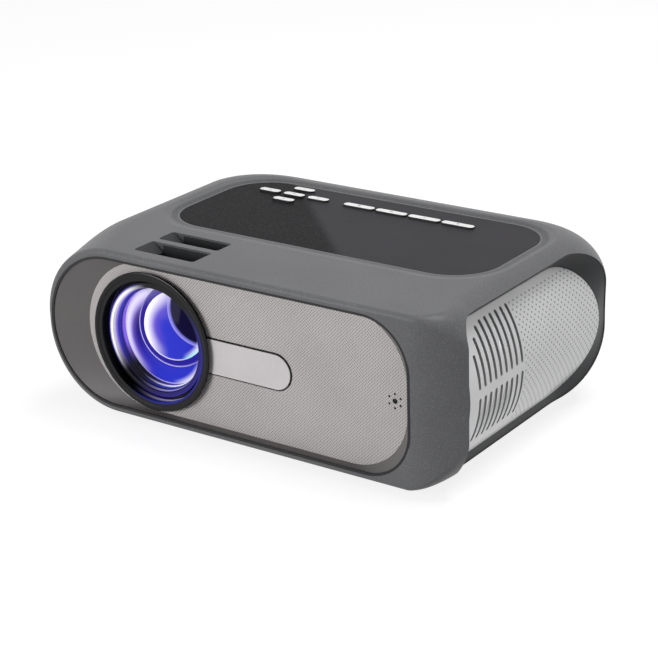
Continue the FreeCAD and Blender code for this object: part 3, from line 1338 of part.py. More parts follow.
def build_base():
    """Bottom cover with its screws, the tripod insert and the feet."""
    plate = prism("cover_plate", "z", (BASE, FLOOR), plate_steps(COVER_X, COVER_Y, "-fit_gap", "cover_corner"))
    insert_z = (BASE, f"{BASE} + insert_length")
    insert_place = ("0", "tripod_y")
    extras = [rod("tripod_boss", "z", "insert_radius + boss_wall", insert_z, insert_place)]
    post_x = {"left": "power_board_left + board_post_edge", "right": "power_board_right - board_post_edge"}
    for side, x in post_x.items():
        for row, y in (("front", "power_board_front + board_post_edge"),
                       ("rear", "power_board_rear - board_post_edge")):
            extras.append(rod(f"board_post_{side}_{row}", "z", "board_post_radius",
                              (BASE, f"{FLOOR} + power_board_height"), (x, y)))
    cuts = [rod("tripod_seat", "z", "insert_radius", insert_z, insert_place)]
    screws = []
    for number, (x, y) in enumerate(cover_screw_places()):
        head_z = (BASE, f"{BASE} + screw_head_thick")
        shank_z = (f"{BASE} + screw_head_thick / 2", f"{BASE} + screw_head_thick + screw_length")
        cuts.append(rod(f"cover_head_room_{number}", "z", "screw_head + fit_gap", head_z, (x, y)))
        cuts.append(rod(f"cover_shank_room_{number}", "z", "screw_radius + fit_gap", (BASE, FLOOR), (x, y)))
        screws.append(join(f"cover_screw_{number}",
                           rod(f"cover_screw_head_{number}", "z", "screw_head", head_z, (x, y)),
                           rod(f"cover_screw_shank_{number}", "z", "screw_radius", shank_z, (x, y))))
    keep("bottom_cover", trim("cover_body", join("cover_solid", plate, *extras), *cuts))
    keep("cover_screws", group("cover_screw_set", screws))
    keep("tripod_insert", tube("insert_body", "z", "insert_radius", "tripod_bore", insert_z, insert_place))

    feet = {"foot_front_left": ("foot_front_left_x", "foot_front_y"),
            "foot_front_right": ("foot_front_right_x", "foot_front_y"),
            "foot_rear_left": ("foot_rear_left_x", "foot_rear_y"),
            "foot_rear_right": ("foot_rear_right_x", "foot_rear_y")}

    def foot_radii(edge):
        return (value("foot_round"),) * 2 if edge.Closed and near(edge.CenterOfMass.z, 0) else None

    for label, middle in feet.items():
        disc = rod(f"{label}_disc", "z", "foot_radius", ("0", BASE), middle)
        keep(label, soften(f"{label}_body", disc, foot_radii))


def export_pieces():
    """Check every object, then write each finished piece to its own file."""
    doc.recompute()
    for thing in doc.Objects:
        if {"Invalid", "Error"} & set(thing.State):
            raise RuntimeError(f"{thing.Name} did not rebuild")
        if hasattr(thing, "Shape") and (thing.Shape.isNull() or not thing.Shape.isValid()):
            raise RuntimeError(f"{thing.Name} has no valid shape")
    os.makedirs("parts", exist_ok=True)
    for label, thing in PIECES.items():
        thing.Shape.exportStep(f"parts/{label}.step")


build_housing()
build_front()
build_deck()
for side, (sign, front) in SIDES.items():
    build_side(side, sign, front)
build_ports()
build_lens()
build_engine()
build_fan()
build_electrics()
build_base()
export_pieces()
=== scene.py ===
"""Finishes, fine pieces and studio for a compact lamp projector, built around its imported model.

Metres, +Z up. The lens side faces -Y, and the origin is under the middle of the case.
"""

import json
import math
from functools import partial

import bmesh
import bpy
from bpy.props import FloatProperty, FloatVectorProperty, IntProperty, PointerProperty
from mathutils import Matrix, Vector, geometry


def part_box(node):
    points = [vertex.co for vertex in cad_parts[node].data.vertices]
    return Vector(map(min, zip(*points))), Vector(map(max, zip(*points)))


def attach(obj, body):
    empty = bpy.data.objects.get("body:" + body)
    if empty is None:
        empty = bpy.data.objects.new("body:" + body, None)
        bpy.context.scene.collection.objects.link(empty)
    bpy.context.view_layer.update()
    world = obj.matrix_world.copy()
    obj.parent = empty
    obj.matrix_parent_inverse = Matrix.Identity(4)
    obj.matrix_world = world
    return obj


bl_info = {
    "name": "Lamp projector",
    "version": (1, 0, 0),
    "blender": (4, 5, 0),
    "location": "3D View > Sidebar > Projector",
    "description": "Dresses the packed projector, adds its fine pieces and sets up a studio",
    "category": "Object",
}

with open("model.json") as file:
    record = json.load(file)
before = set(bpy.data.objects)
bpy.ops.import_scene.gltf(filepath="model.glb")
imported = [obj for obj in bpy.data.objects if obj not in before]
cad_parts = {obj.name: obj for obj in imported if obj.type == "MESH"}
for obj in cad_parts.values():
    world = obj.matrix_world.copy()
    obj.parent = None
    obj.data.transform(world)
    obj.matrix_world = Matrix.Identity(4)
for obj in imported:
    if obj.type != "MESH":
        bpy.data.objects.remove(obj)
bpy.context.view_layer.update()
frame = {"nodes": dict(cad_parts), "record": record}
MM = 0.001
PER_METRE = 1000.0
# Edges that turn by more than this aren't smoothed over.
SHARP_ANGLE = math.radians(38)

RING_LOW, RING_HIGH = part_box("lens_ring")
LENS_X = (RING_LOW.x + RING_HIGH.x) / 2
LENS_Z = (RING_LOW.z + RING_HIGH.z) / 2
DECK_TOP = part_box("deck_panel")[1].z
PANEL_MIDDLE = (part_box("right_vent_panel")[0].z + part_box("right_vent_panel")[1].z) / 2

# Sockets of the Mix node when it mixes colours.
MIX_AMOUNT, MIX_FIRST, MIX_SECOND, MIX_RESULT = 0, 6, 7, 2
WHITE = (1.0, 1.0, 1.0, 1.0)
BLACK = (0.0, 0.0, 0.0, 1.0)
MADE_FINISHES = {}
DRESSED = set()


# Sizes and colours ---------------------------------------------------------------------------

def length(name, description, default):
    """Length in metres that a user may change."""
    return FloatProperty(name=name, description=description, default=default, min=0.0,
                         subtype="DISTANCE", precision=5)


def colour(name, description, default):
    """Linear colour that a user may change."""
    return FloatVectorProperty(name=name, description=description, default=default, size=3,
                               min=0.0, max=1.0, subtype="COLOR")


class ProjectorSizes(bpy.types.PropertyGroup):
    """Sizes of the fine pieces and patterns."""
    grille_pitch: length("Grille pitch", "Distance between the rows of grille pits", 0.0010)
    grille_pit: length("Grille pit", "Radius of one grille pit", 0.00028)
    hole_pitch: length("Hole pitch", "Distance between the rows of side perforations", 0.0023)
    hole_radius: length("Hole radius", "Radius of one side perforation", 0.00048)
    slots_reach: length("Slots reach", "From a side panel's front end to past its slots", 0.0445)
    hole_margin: length("Hole margin", "Plain border above and below the perforations", 0.0045)
    panel_round: length("Panel round", "Radius of the barrel-shaped side panels", 0.046)
    case_grain: length("Case grain", "Size of the grain moulded into the case", 0.00045)
    key_width: length("Key width", "Width of a white key cap across the row", 0.0034)
    key_rise: length("Key rise", "Height of the crowned key caps above the deck", 0.00092)
    key_mark: length("Key mark", "Half size of the mark on a key", 0.0006)
    deck_corner: length("Deck corner", "Corner radius of the deck panel", 0.021)
    ramp_length: length("Ramp length", "Length of the finger ramps in the wheel wells", 0.0058)
    ramp_drop: length("Ramp drop", "Depth of the finger ramps at their inner end", 0.0038)
    gasket_width: length("Gasket width", "Width of the dark gasket round the front", 0.0010)
    window_radius: length("Window radius", "Radius of the receiver window", 0.00115)
    dot_radius: length("Dot radius", "Radius of a dot round the receiver window", 0.00048)
    dot_ring: length("Dot ring", "Distance of the dots from the middle of the window", 0.0030)
    ring_bead: length("Ring bead", "How far the bead stands proud of the lens ring", 0.0004)
    contact_width: length("Contact width", "Width of one contact in a rear socket", 0.0005)
    cross_length: length("Cross length", "Length of the cross recess in a cover screw", 0.0030)
    lens_steps: IntProperty(name="Lens steps", description="Baffle steps in front of the lens",
                            default=4, min=1)


class ProjectorColours(bpy.types.PropertyGroup):
    """Base colours of the finishes."""
    case: colour("Case", "Satin grey of the main moulding", (0.118, 0.119, 0.124))
    case_fleck: colour("Case fleck", "Lighter flecks in the case", (0.214, 0.216, 0.222))
    rim: colour("Rim", "Dark frame round the side panels", (0.040, 0.041, 0.043))
    bezel: colour("Bezel", "Warm grey dish round the grille", (0.125, 0.118, 0.118))
    grille: colour("Grille", "Light warm grey between the grille pits", (0.500, 0.470, 0.468))
    grille_pit: colour("Grille pit", "Shade inside the grille pits", (0.150, 0.138, 0.138))
    badge: colour("Badge", "Bare pill-shaped plate", (0.590, 0.562, 0.568))
    deck: colour("Deck", "Matte top panel", (0.005, 0.005, 0.006))
    # Painted reflection: the deck sheen is a lighter tone that stands for a reflection on the right
    # part of the deck.
    deck_sheen: colour("Deck sheen", "Lighter part of the top panel", (0.039, 0.037, 0.042))
    deck_fleck: colour("Deck fleck", "Lighter flecks in the top panel", (0.050, 0.048, 0.053))
    key: colour("Key", "White key caps", (0.860, 0.860, 0.860))
    mark: colour("Mark", "Print on the key caps", (0.200, 0.200, 0.205))
    silver: colour("Silver", "Painted side panels", (0.560, 0.562, 0.568))
    silver_hole: colour("Silver hole", "Shade inside the side perforations", (0.170, 0.171, 0.175))
    black: colour("Black", "Matte black mouldings", (0.014, 0.014, 0.015))
    gloss_black: colour("Gloss black", "Gloss black lens mouldings", (0.005, 0.005, 0.006))
    rubber: colour("Rubber", "Feet", (0.018, 0.018, 0.018))
    brass: colour("Brass", "Threaded insert and contacts", (0.750, 0.560, 0.260))
    steel: colour("Steel", "Screws and socket shells", (0.560, 0.560, 0.580))
    aluminium: colour("Aluminium", "Heat sink", (0.740, 0.750, 0.770))
    board: colour("Board", "Lacquer of the circuit boards", (0.018, 0.110, 0.050))
    # The coating tones below are painted reflections and painted glow of the lens coating, used on
    # the front lens and the baffle.
    coating_dark: colour("Coating dark", "Darkest tone of the lens coating", (0.004, 0.003, 0.030))
    coating_deep: colour("Coating deep", "Deep tone of the lens coating", (0.022, 0.012, 0.260))
    coating_blue: colour("Coating blue", "Blue of the lens coating", (0.030, 0.040, 0.560))
    coating_violet: colour("Coating violet", "Violet of the lens coating", (0.300, 0.180, 0.800))
    coating_pale: colour("Coating pale", "Lavender lines of the coating", (0.640, 0.580, 1.000))
    coating_white: colour("Coating white", "Brightest tone of the coating", (0.960, 0.940, 1.000))
    coating_cyan: colour("Coating cyan", "Green-blue tint at the lower edge", (0.300, 0.900, 0.850))


class ProjectorStudio(bpy.types.PropertyGroup):
    """Camera, floor and lamps."""
    azimuth: FloatProperty(name="Azimuth", description="Camera angle round the object",
                           default=math.radians(35.46), subtype="ANGLE")
    elevation: FloatProperty(name="Elevation", description="Camera angle above the floor",
                             default=math.radians(21.43), subtype="ANGLE")
    roll: FloatProperty(name="Roll", description="Camera turn about its own axis",
                        default=math.radians(-1.77), subtype="ANGLE")
    place: FloatVectorProperty(name="Place", description="Where the camera stands",
                               default=(0.4622, -0.6606, 0.3458), subtype="TRANSLATION")
    focal_length: FloatProperty(name="Focal length", description="Focal length in millimetres",
                                default=108.15, unit="CAMERA")
    floor_size: length("Floor size", "Width of the square floor", 6.0)
    room_light: FloatProperty(name="Room light", description="Strength of the light from all sides",
                              default=0.20, min=0.0)
    floor_glow: FloatProperty(name="Floor glow", default=0.82, min=0.0, max=1.0,
                              description="Share of the floor's white that no shadow takes")


def sizes():
    return bpy.context.scene.projector_sizes


def colours():
    return bpy.context.scene.projector_colours


def studio():
    return bpy.context.scene.projector_studio


def rgba(tone):
    return (*tone, 1.0)


def tone_of(name):
    """Colour of that name, as a shader takes it."""
    return rgba(getattr(colours(), name))


# Node trees ----------------------------------------------------------------------------------

class Wiring:
    """Short calls that build one node tree."""

    def __init__(self, tree):
        self.tree = tree

    def add(self, kind, inputs=None, **settings):
        """Add a node. An input takes a plain value, or the output that feeds it."""
        node = self.tree.nodes.new(kind)
        for key, setting in settings.items():
            setattr(node, key, setting)
        for key, source in (inputs or {}).items():
            if isinstance(source, bpy.types.NodeSocket):
                self.tree.links.new(source, node.inputs[key])
            else:
                node.inputs[key].default_value = source
        return node

    def link(self, source, socket):
        self.tree.links.new(source, socket)

    def math(self, operation, first, second=0.0):
        return self.add("ShaderNodeMath", {0: first, 1: second}, operation=operation).outputs[0]

    def plus(self, first, second):
        return self.math("ADD", first, second)

    def minus(self, first, second):
        return self.math("SUBTRACT", first, second)

    def times(self, first, *others):
        for other in others:
            first = self.math("MULTIPLY", first, other)
        return first

    def hypotenuse(self, first, second):
        """Straight distance over two lengths at right angles."""
        squares = [self.times(side, side) for side in (first, second)]
        return self.math("SQRT", self.plus(*squares))

    def vector(self, operation, first, second=(0.0, 0.0, 0.0)):
        node = self.add("ShaderNodeVectorMath", {0: first, 1: second}, operation=operation)
        return node.outputs["Value" if operation in ("LENGTH", "DOT_PRODUCT") else "Vector"]

    def place(self):
        """Place on the object, in metres."""
        return self.add("ShaderNodeTexCoord").outputs["Object"]

    def place_parts(self):
        """Place on the object, in metres, as X, Y and Z."""
        return self.add("ShaderNodeSeparateXYZ", {"Vector": self.place()}).outputs

    def span(self, amount, start, end, low=0.0, high=1.0, kind="LINEAR"):
        """Even change from low to high as the amount goes from start to end."""
        return self.add("ShaderNodeMapRange", {
            "Value": amount, "From Min": start, "From Max": end, "To Min": low, "To Max": high,
        }, interpolation_type=kind).outputs["Result"]

    def step(self, amount, start, end, low=0.0, high=1.0):
        """Smooth change from low to high as the amount goes from start to end."""
        return self.span(amount, start, end, low, high, "SMOOTHSTEP")

    def mix(self, amount, first, second, blend="MIX"):
        """Colour between two others."""
        return self.add("ShaderNodeMix", {
            MIX_AMOUNT: amount, MIX_FIRST: first, MIX_SECOND: second,
        }, data_type="RGBA", blend_type=blend).outputs[MIX_RESULT]

    def ramp(self, amount, stops):
        """Colour ramp with stops of a position and a colour's name."""
        node = self.add("ShaderNodeValToRGB", {"Fac": amount})
        elements = node.color_ramp.elements
        while len(elements) < len(stops):
            elements.new(1.0)
        for element, (position, tone) in zip(elements, stops):
            element.position = position
            element.color = tone_of(tone)
        return node.outputs["Color"]

    def noise(self, place, scale, detail=2.0, roughness=0.5):
        return self.add("ShaderNodeTexNoise", {
            "Vector": place, "Scale": scale, "Detail": detail, "Roughness": roughness,
        }).outputs["Fac"]

    def group(self, tree, inputs):
        return self.add("ShaderNodeGroup", inputs, node_tree=tree).outputs

    def bump(self, height, relief, strength=1.0):
        """Normal from a height between 0 and 1 that stands for the relief, in metres."""
        return self.add("ShaderNodeBump", {
            "Height": height, "Distance": relief, "Strength": strength,
        }).outputs["Normal"]


class Finish(Wiring):
    """Material with one Principled shader. Plain values are set on the shader's own sockets."""

    def __init__(self, name, **plain):
        self.material = bpy.data.materials.new(name)
        self.material.use_nodes = True
        super().__init__(self.material.node_tree)
        self.shader = self.tree.nodes["Principled BSDF"]
        for label, setting in plain.items():
            self.shader.inputs[label.replace("_", " ")].default_value = setting

    def grain(self, tone, fleck, size, roughness, fleck_share=0.5, spread=0.1):
        """Outputs of the grain, for a tone, its flecks and the grain's size in metres."""
        return self.group(moulded_grain(), {
            "Colour": tone, "Fleck Colour": fleck, "Grain Scale": 1 / size,
            "Fleck Share": fleck_share, "Roughness": roughness, "Roughness Spread": spread})

    def feed_grained(self, grain, relief):
        """Link the grain's colour and roughness, with bumps that deep, and give the material."""
        return self.feed(Base_Color=grain["Colour"], Roughness=grain["Roughness"],
                         Normal=self.bump(grain["Height"], relief))

    def feed(self, **sources):
        """Link outputs to the shader's sockets, and give the material."""
        for label, source in sources.items():
            self.link(source, self.shader.inputs[label.replace("_", " ")])
        return self.material


# Kind of socket for a default with that many parts.
SOCKET_KINDS = {1: "NodeSocketFloat", 3: "NodeSocketVector", 4: "NodeSocketColor"}


def node_group(name, inputs, outputs):
    """Turns a function that wires a node group into one that gives the group, made only once.

    Each input has its default, and each output its kind of socket.
    """
    def make():
        tree = bpy.data.node_groups.new(name, "ShaderNodeTree")
        for label, default in inputs.items():
            kind = SOCKET_KINDS[1 if isinstance(default, float) else len(default)]
            socket = tree.interface.new_socket(label, in_out="INPUT", socket_type=kind)
            socket.default_value = default
        for label, kind in outputs.items():
            tree.interface.new_socket(label, in_out="OUTPUT", socket_type=f"NodeSocket{kind}")
        return Wiring(tree)

    def wrap(wire):
        def group():
            if name not in bpy.data.node_groups:
                wiring = make()
                results = wire(wiring, wiring.add("NodeGroupInput").outputs)
                wiring.add("NodeGroupOutput", dict(zip(outputs, results)))
            return bpy.data.node_groups[name]
        return group
    return wrap


@node_group("Moulded Grain",
            {"Colour": (0.5, 0.5, 0.5, 1.0), "Fleck Colour": (0.6, 0.6, 0.6, 1.0),
             "Grain Scale": 1500.0, "Fleck Share": 0.5, "Roughness": 0.4, "Roughness Spread": 0.1},
            {"Colour": "Color", "Roughness": "Float", "Height": "Float"})
def moulded_grain(wiring, given):
    """Fine grain with lighter flecks, as moulded plastic and paint have."""
    place = wiring.place()
    grain = wiring.noise(place, given["Grain Scale"], 3.0, 0.6)
    flecks = wiring.noise(place, wiring.times(given["Grain Scale"], 0.8), 1.0)
    broad = wiring.noise(place, 1 / 0.035)
    fleck_mask = wiring.times(wiring.step(flecks, 0.42, 0.78), given["Fleck Share"])
    flecked = wiring.mix(fleck_mask, given["Colour"], given["Fleck Colour"])
    shaded = wiring.mix(1.0, flecked, wiring.step(broad, 0.3, 0.7, 0.95, 1.04), "MULTIPLY")
    spread = wiring.times(wiring.minus(grain, 0.5), given["Roughness Spread"])
    return shaded, wiring.plus(given["Roughness"], spread), grain


@node_group("Dot Rows",
            {"Across": 0.0, "Along": 0.0, "Pitch": 0.001, "Radius": 0.0003},
            {"Dots": "Float"})
def dot_rows(wiring, given):
    """Staggered rows of round dots over two lengths measured along a surface."""
    offsets = []
    # Sum and difference, times this, are the lengths in a grid that is turned by 45 degrees.
    turned = 0.7071
    for operation in ("ADD", "SUBTRACT"):
        diagonal = wiring.math(operation, given["Across"], given["Along"])
        cell = wiring.math("DIVIDE", wiring.times(diagonal, turned), given["Pitch"])
        offsets.append(wiring.times(wiring.minus(wiring.math("FRACT", cell), 0.5), given["Pitch"]))
    inner, outer = (wiring.times(given["Radius"], share) for share in (0.72, 1.18))
    return [wiring.step(wiring.hypotenuse(*offsets), inner, outer, 1.0, 0.0)]


@node_group("Glint Crescent",
            {"Place": (0.0, 0.0, 0.0), "Centre": (0.0, 0.0, 0.0), "Radius": 10.0, "Width": 2.0,
             "Towards": (1.0, 0.0, 0.0), "Spread": 0.0},
            {"Disc": "Float", "Crescent": "Float"})
def glint_crescent(wiring, given):
    """Disc and crescent-shaped painted glint of a coated surface, over places on the lens in mm."""
    offset = wiring.vector("SUBTRACT", given["Place"], given["Centre"])
    depth = wiring.minus(given["Radius"], wiring.vector("LENGTH", offset))
    disc = wiring.step(depth, -0.12, 0.12)
    fade = wiring.step(depth, 0.0, given["Width"], 1.0, 0.0)
    side = wiring.vector("DOT_PRODUCT", wiring.vector("NORMALIZE", offset), given["Towards"])
    return disc, wiring.times(disc, fade, wiring.step(side, given["Spread"], 1.0))


# Finishes ------------------------------------------------------------------------------------

def moulded_finish(name, tone, grain=0.0006, roughness=0.45, relief=0.00003, fleck_share=0.6,
                   coat=0.0, shine=0.5):
    """Moulded or painted plastic."""
    base = tone_of(tone)
    light = tuple(1.25 * part for part in base)
    wiring = Finish(name, Coat_Weight=coat, Specular_IOR_Level=shine)
    grained = wiring.grain(base, light, grain, roughness, fleck_share, 0.12)
    return wiring.feed_grained(grained, relief)


def case_finish(name):
    """Satin case plastic with fine pale flecks, and painted shade: a darker band in the dish round
    the deck.
    """
    wiring = Finish(name, Specular_IOR_Level=0.2)
    place = wiring.place_parts()
    low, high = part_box("deck_panel")
    corner = sizes().deck_corner
    # Distances out from the deck's edge over which the painted shade band fades in and out.
    fade_in, fade_out = (0.7 * MM, 1.2 * MM), (3.0 * MM, 4.6 * MM)
    spans = []
    for axis, least, most in (("X", low.x, high.x), ("Y", low.y, high.y)):
        apart = wiring.math("ABSOLUTE", wiring.minus(place[axis], (least + most) / 2))
        spans.append(wiring.math("MAXIMUM", wiring.minus(apart, (most - least) / 2 - corner), 0.0))
    away = wiring.minus(wiring.hypotenuse(*spans), corner)
    shade_inner_edge = wiring.step(away, *fade_in)
    shade_outer_edge = wiring.step(away, *fade_out, 1.0, 0.0)
    on_top = wiring.math("GREATER_THAN", place["Z"], DECK_TOP - 0.5 * MM)
    # Painted shade: the dish round the deck is mixed towards the dark rim colour.
    tone = wiring.mix(wiring.times(shade_inner_edge, shade_outer_edge, on_top, 0.8),
                      tone_of("case"), tone_of("rim"))
    grain = wiring.grain(tone, tone_of("case_fleck"), sizes().case_grain, 0.42, 0.42, 0.12)
    return wiring.feed_grained(grain, 0.00003)


def deck_finish(name):
    """Matte speckled deck with a painted reflection: a lighter tone on the right of a slanting
    line.
    """
    slant, blur = -0.011, 0.004
    wiring = Finish(name, Specular_IOR_Level=0.04)
    place = wiring.place_parts()
    # Painted reflection: lighter on the right of the slanting line.
    right = wiring.step(wiring.plus(place["X"], place["Y"]), slant - blur, slant + blur)
    tone = wiring.mix(right, tone_of("deck"), tone_of("deck_sheen"))
    return wiring.feed_grained(wiring.grain(tone, tone_of("deck_fleck"), 0.0005, 0.5), 0.00005)


def grille_finish(name):
    """Grille face pressed with fine pits in staggered rows, with painted shade in the pits."""
    wiring = Finish(name)
    place = wiring.place_parts()
    pits = wiring.group(dot_rows(), {
        "Across": place["X"], "Along": place["Z"],
        "Pitch": sizes().grille_pitch, "Radius": sizes().grille_pit})["Dots"]
    grain = wiring.grain(tone_of("grille"), tone_of("badge"), 0.0008, 0.5, 0.3)
    # Painted shade: the pits take the darker pit colour.
    tone = wiring.mix(wiring.times(pits, 0.85), grain["Colour"], tone_of("grille_pit"))
    return wiring.feed(Base_Color=tone, Roughness=grain["Roughness"],
                       Normal=wiring.bump(wiring.minus(1.0, pits), 0.00025, 0.7))


def vent_finish(name):
    """Silver paint with fine perforations beyond the slots, laid out along the panel's barrel, with
    painted shade in the holes.
    """
    wiring = Finish(name, Metallic=0.15, Coat_Weight=0.25)
    place = wiring.place_parts()
    right_low, right_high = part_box("right_vent_panel")
    left_low, left_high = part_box("left_vent_panel")
    side = wiring.minus(wiring.math("ABSOLUTE", place["X"]), right_high.x - sizes().panel_round)
    rise = wiring.minus(place["Z"], PANEL_MIDDLE)
    arc = wiring.times(wiring.math("ARCTAN2", rise, side), sizes().panel_round)
    holes = wiring.group(dot_rows(), {
        "Across": place["Y"], "Along": arc,
        "Pitch": sizes().hole_pitch, "Radius": sizes().hole_radius})["Dots"]
    on_right = wiring.step(place["X"], -MM, MM)
    slot_ends = [low.y + sizes().slots_reach for low in (left_low, right_low)]
    start = wiring.span(on_right, 0.0, 1.0, *slot_ends)
    half_height = (right_high.z - right_low.z) / 2 - sizes().hole_margin
    rear_end = min(right_high.y, left_high.y) - 3 * MM
    field = wiring.times(wiring.math("GREATER_THAN", place["Y"], start),
                         wiring.math("LESS_THAN", wiring.math("ABSOLUTE", rise), half_height),
                         wiring.math("LESS_THAN", place["Y"], rear_end))
    mask = wiring.times(holes, field)
    grain = wiring.grain(tone_of("silver"), tone_of("badge"), 0.0005, 0.34, 0.25, 0.08)
    # Painted shade: the holes take the darker hole colour.
    tone = wiring.mix(wiring.times(mask, 0.9), grain["Colour"], tone_of("silver_hole"))
    return wiring.feed(Base_Color=tone, Roughness=grain["Roughness"],
                       Normal=wiring.bump(wiring.minus(1.0, mask), 0.0003, 0.7))


def metal_finish(name, tone, roughness=0.28):
    """Metal with fine lines drawn up and down it."""
    wiring = Finish(name, Metallic=1.0)
    drawn = wiring.vector("MULTIPLY", wiring.place(), (1.0, 1.0, 14.0))
    lines = wiring.noise(drawn, 1 / 0.0012, 4.0)
    base = getattr(colours(), tone)
    dull = tuple(0.78 * part for part in base)
    return wiring.feed(Base_Color=wiring.mix(lines, rgba(dull), rgba(base)),
                       Roughness=wiring.step(lines, 0.2, 0.8, roughness - 0.08, roughness + 0.10),
                       Normal=wiring.bump(lines, 0.00002))


def board_finish(name):
    """Lacquered circuit board with copper tracks under the lacquer."""
    wiring = Finish(name, Coat_Weight=0.3)
    tracks_per_metre = 260.0
    tracks = wiring.add("ShaderNodeTexVoronoi", {
        "Vector": wiring.place(), "Scale": tracks_per_metre,
    }, distance="MANHATTAN", feature="DISTANCE_TO_EDGE").outputs["Distance"]
    mask = wiring.step(tracks, 0.03, 0.06, 1.0, 0.0)
    base = colours().board
    track = rgba(1.9 * part + 0.02 for part in base)
    grain = wiring.grain(rgba(base), track, 0.0015, 0.35, 0.2)
    return wiring.feed(Base_Color=wiring.mix(mask, grain["Colour"], track),
                       Roughness=grain["Roughness"], Normal=wiring.bump(mask, 0.00004))


def glass_finish(name, tint=(0.92, 0.95, 0.97), clearness=1.0, roughness=0.03):
    """Polished glass or optical plastic with a trace of dust."""
    wiring = Finish(name, Transmission_Weight=clearness, IOR=1.5)
    dust = wiring.noise(wiring.place(), 1 / 0.004, 5.0)
    pale = tuple(min(1.0, 1.04 * part) for part in tint)
    return wiring.feed(Base_Color=wiring.mix(dust, rgba(tint), rgba(pale)),
                       Roughness=wiring.step(dust, 0.55, 0.8, roughness, roughness + 0.05))


def mirror_finish(name):
    """Silvered mirror."""
    wiring = Finish(name, Metallic=1.0)
    haze = wiring.noise(wiring.place(), 1 / 0.006, 4.0)
    silvering = wiring.mix(haze, (0.86, 0.88, 0.90, 1.0), (0.93, 0.94, 0.95, 1.0))
    return wiring.feed(Base_Color=silvering,
                       Roughness=wiring.step(haze, 0.4, 0.8, 0.02, 0.06))


def lens_place(wiring):
    """Place across the lens axis in millimetres, and the place along the axis in metres."""
    place = wiring.place_parts()
    across = wiring.times(wiring.minus(place["X"], LENS_X), PER_METRE)
    up = wiring.times(wiring.minus(place["Z"], LENS_Z), PER_METRE)
    return wiring.add("ShaderNodeCombineXYZ", {"X": across, "Z": up}).outputs["Vector"], place["Y"]


# Painted glints, painted reflections of the coated surfaces, back to front: part, centre, radius
# and width in millimetres, the side it lies on, how far round it reaches, its colour and its share.
COATING_GLINTS = (
    ("Crescent", (0.0, 0.0), 21.9, 11.0, (-0.96, 0.28), -0.10, "coating_violet", 1.0),
    ("Crescent", (0.0, 0.0), 21.9, 7.5, (-0.93, 0.37), -0.05, "coating_white", 1.0),
    ("Crescent", (0.0, 0.0), 21.9, 1.2, (0.10, -0.99), -0.20, "coating_pale", 0.95),
    ("Crescent", (0.0, 0.0), 21.9, 3.0, (0.72, -0.69), 0.78, "coating_white", 1.0),
    ("Disc", (7.5, 6.5), 18.0, 1.0, (1.0, 0.0), 0.0, "coating_deep", 0.80),
    ("Crescent", (7.5, 6.5), 18.0, 0.9, (-0.60, -0.80), -0.35, "coating_pale", 0.90),
    ("Disc", (7.5, 6.5), 14.8, 1.0, (1.0, 0.0), 0.0, "coating_blue", 0.90),
    ("Crescent", (7.5, 6.5), 14.8, 12.0, (-0.98, 0.20), 0.0, "coating_deep", 0.75),
    ("Crescent", (7.5, 6.5), 14.8, 12.0, (-0.98, 0.20), -0.10, "coating_violet", 0.80),
    ("Crescent", (7.5, 6.5), 14.8, 7.0, (-0.98, 0.20), -0.10, "coating_white", 1.0),
    ("Crescent", (7.5, 6.5), 14.8, 0.8, (-0.50, -0.86), -0.30, "coating_white", 0.85),
    ("Disc", (25.0, 19.0), 19.5, 1.0, (1.0, 0.0), 0.0, "coating_dark", 1.0),
    ("Crescent", (25.0, 19.0), 21.0, 2.2, (-0.71, -0.71), 0.30, "coating_pale", 0.45),
    ("Crescent", (7.5, 6.5), 14.8, 3.2, (0.90, -0.44), 0.70, "coating_white", 1.0),
    ("Crescent", (7.5, 6.5), 14.8, 2.0, (0.60, -0.80), 0.93, "coating_cyan", 0.7),
)


def coated_glass_finish(name):
    """Front lens painted with the nested blue and violet glints of its coatings, as painted
    reflections and a painted glow.
    """
    # Painted glow: the emission makes the lens glow with its painted tones.
    wiring = Finish(name, Specular_IOR_Level=0.03, Emission_Strength=0.30)
    place, _ = lens_place(wiring)
    down = wiring.vector("DOT_PRODUCT", place, (0.35, 0.0, -0.94))
    rim = 22.0
    # Painted reflection: darker towards the upper left, bluer towards the lower right.
    tone = wiring.ramp(wiring.step(down, -rim, rim), (
        (0.0, "coating_dark"), (0.5, "coating_deep"), (1.0, "coating_blue")))
    for part, centre, radius, width, towards, spread, tint, share in COATING_GLINTS:
        glint = wiring.group(glint_crescent(), {
            "Place": place, "Centre": (centre[0], 0.0, centre[1]), "Radius": radius, "Width": width,
            "Towards": (towards[0], 0.0, towards[1]), "Spread": spread})[part]
        tone = wiring.mix(wiring.times(glint, share), tone, tone_of(tint))
    smear = wiring.noise(wiring.place(), 1 / 0.008, 3.0)
    return wiring.feed(Base_Color=tone, Emission_Color=tone,
                       Roughness=wiring.step(smear, 0.3, 0.8, 0.08, 0.16))


# Where the painted light on the baffle's left side and on its lower side starts, and where both
# end.
# Each is a place along the axis less the distance from it, in millimetres.
BANDS_START, LINES_START, LIGHT_END = -97.7, -104.0, -88.4
# Distances from the axis, in millimetres, over which the painted light fades out.
LIGHT_EDGE = (28.4, 29.0)
LEFT_BANDS = ((0.0, "gloss_black"), (0.06, "coating_deep"), (0.16, "coating_white"),
              (0.34, "coating_white"), (0.50, "coating_violet"), (0.62, "coating_blue"),
              (0.84, "coating_deep"), (0.97, "coating_violet"))
LOWER_LINES = ((0.0, "gloss_black"), (0.08, "coating_dark"), (0.16, "coating_blue"),
               (0.22, "coating_dark"), (0.34, "coating_pale"), (0.40, "coating_deep"),
               (0.58, "coating_dark"), (0.64, "coating_pale"), (0.70, "coating_dark"),
               (0.84, "coating_blue"), (0.90, "coating_white"), (0.97, "coating_deep"))


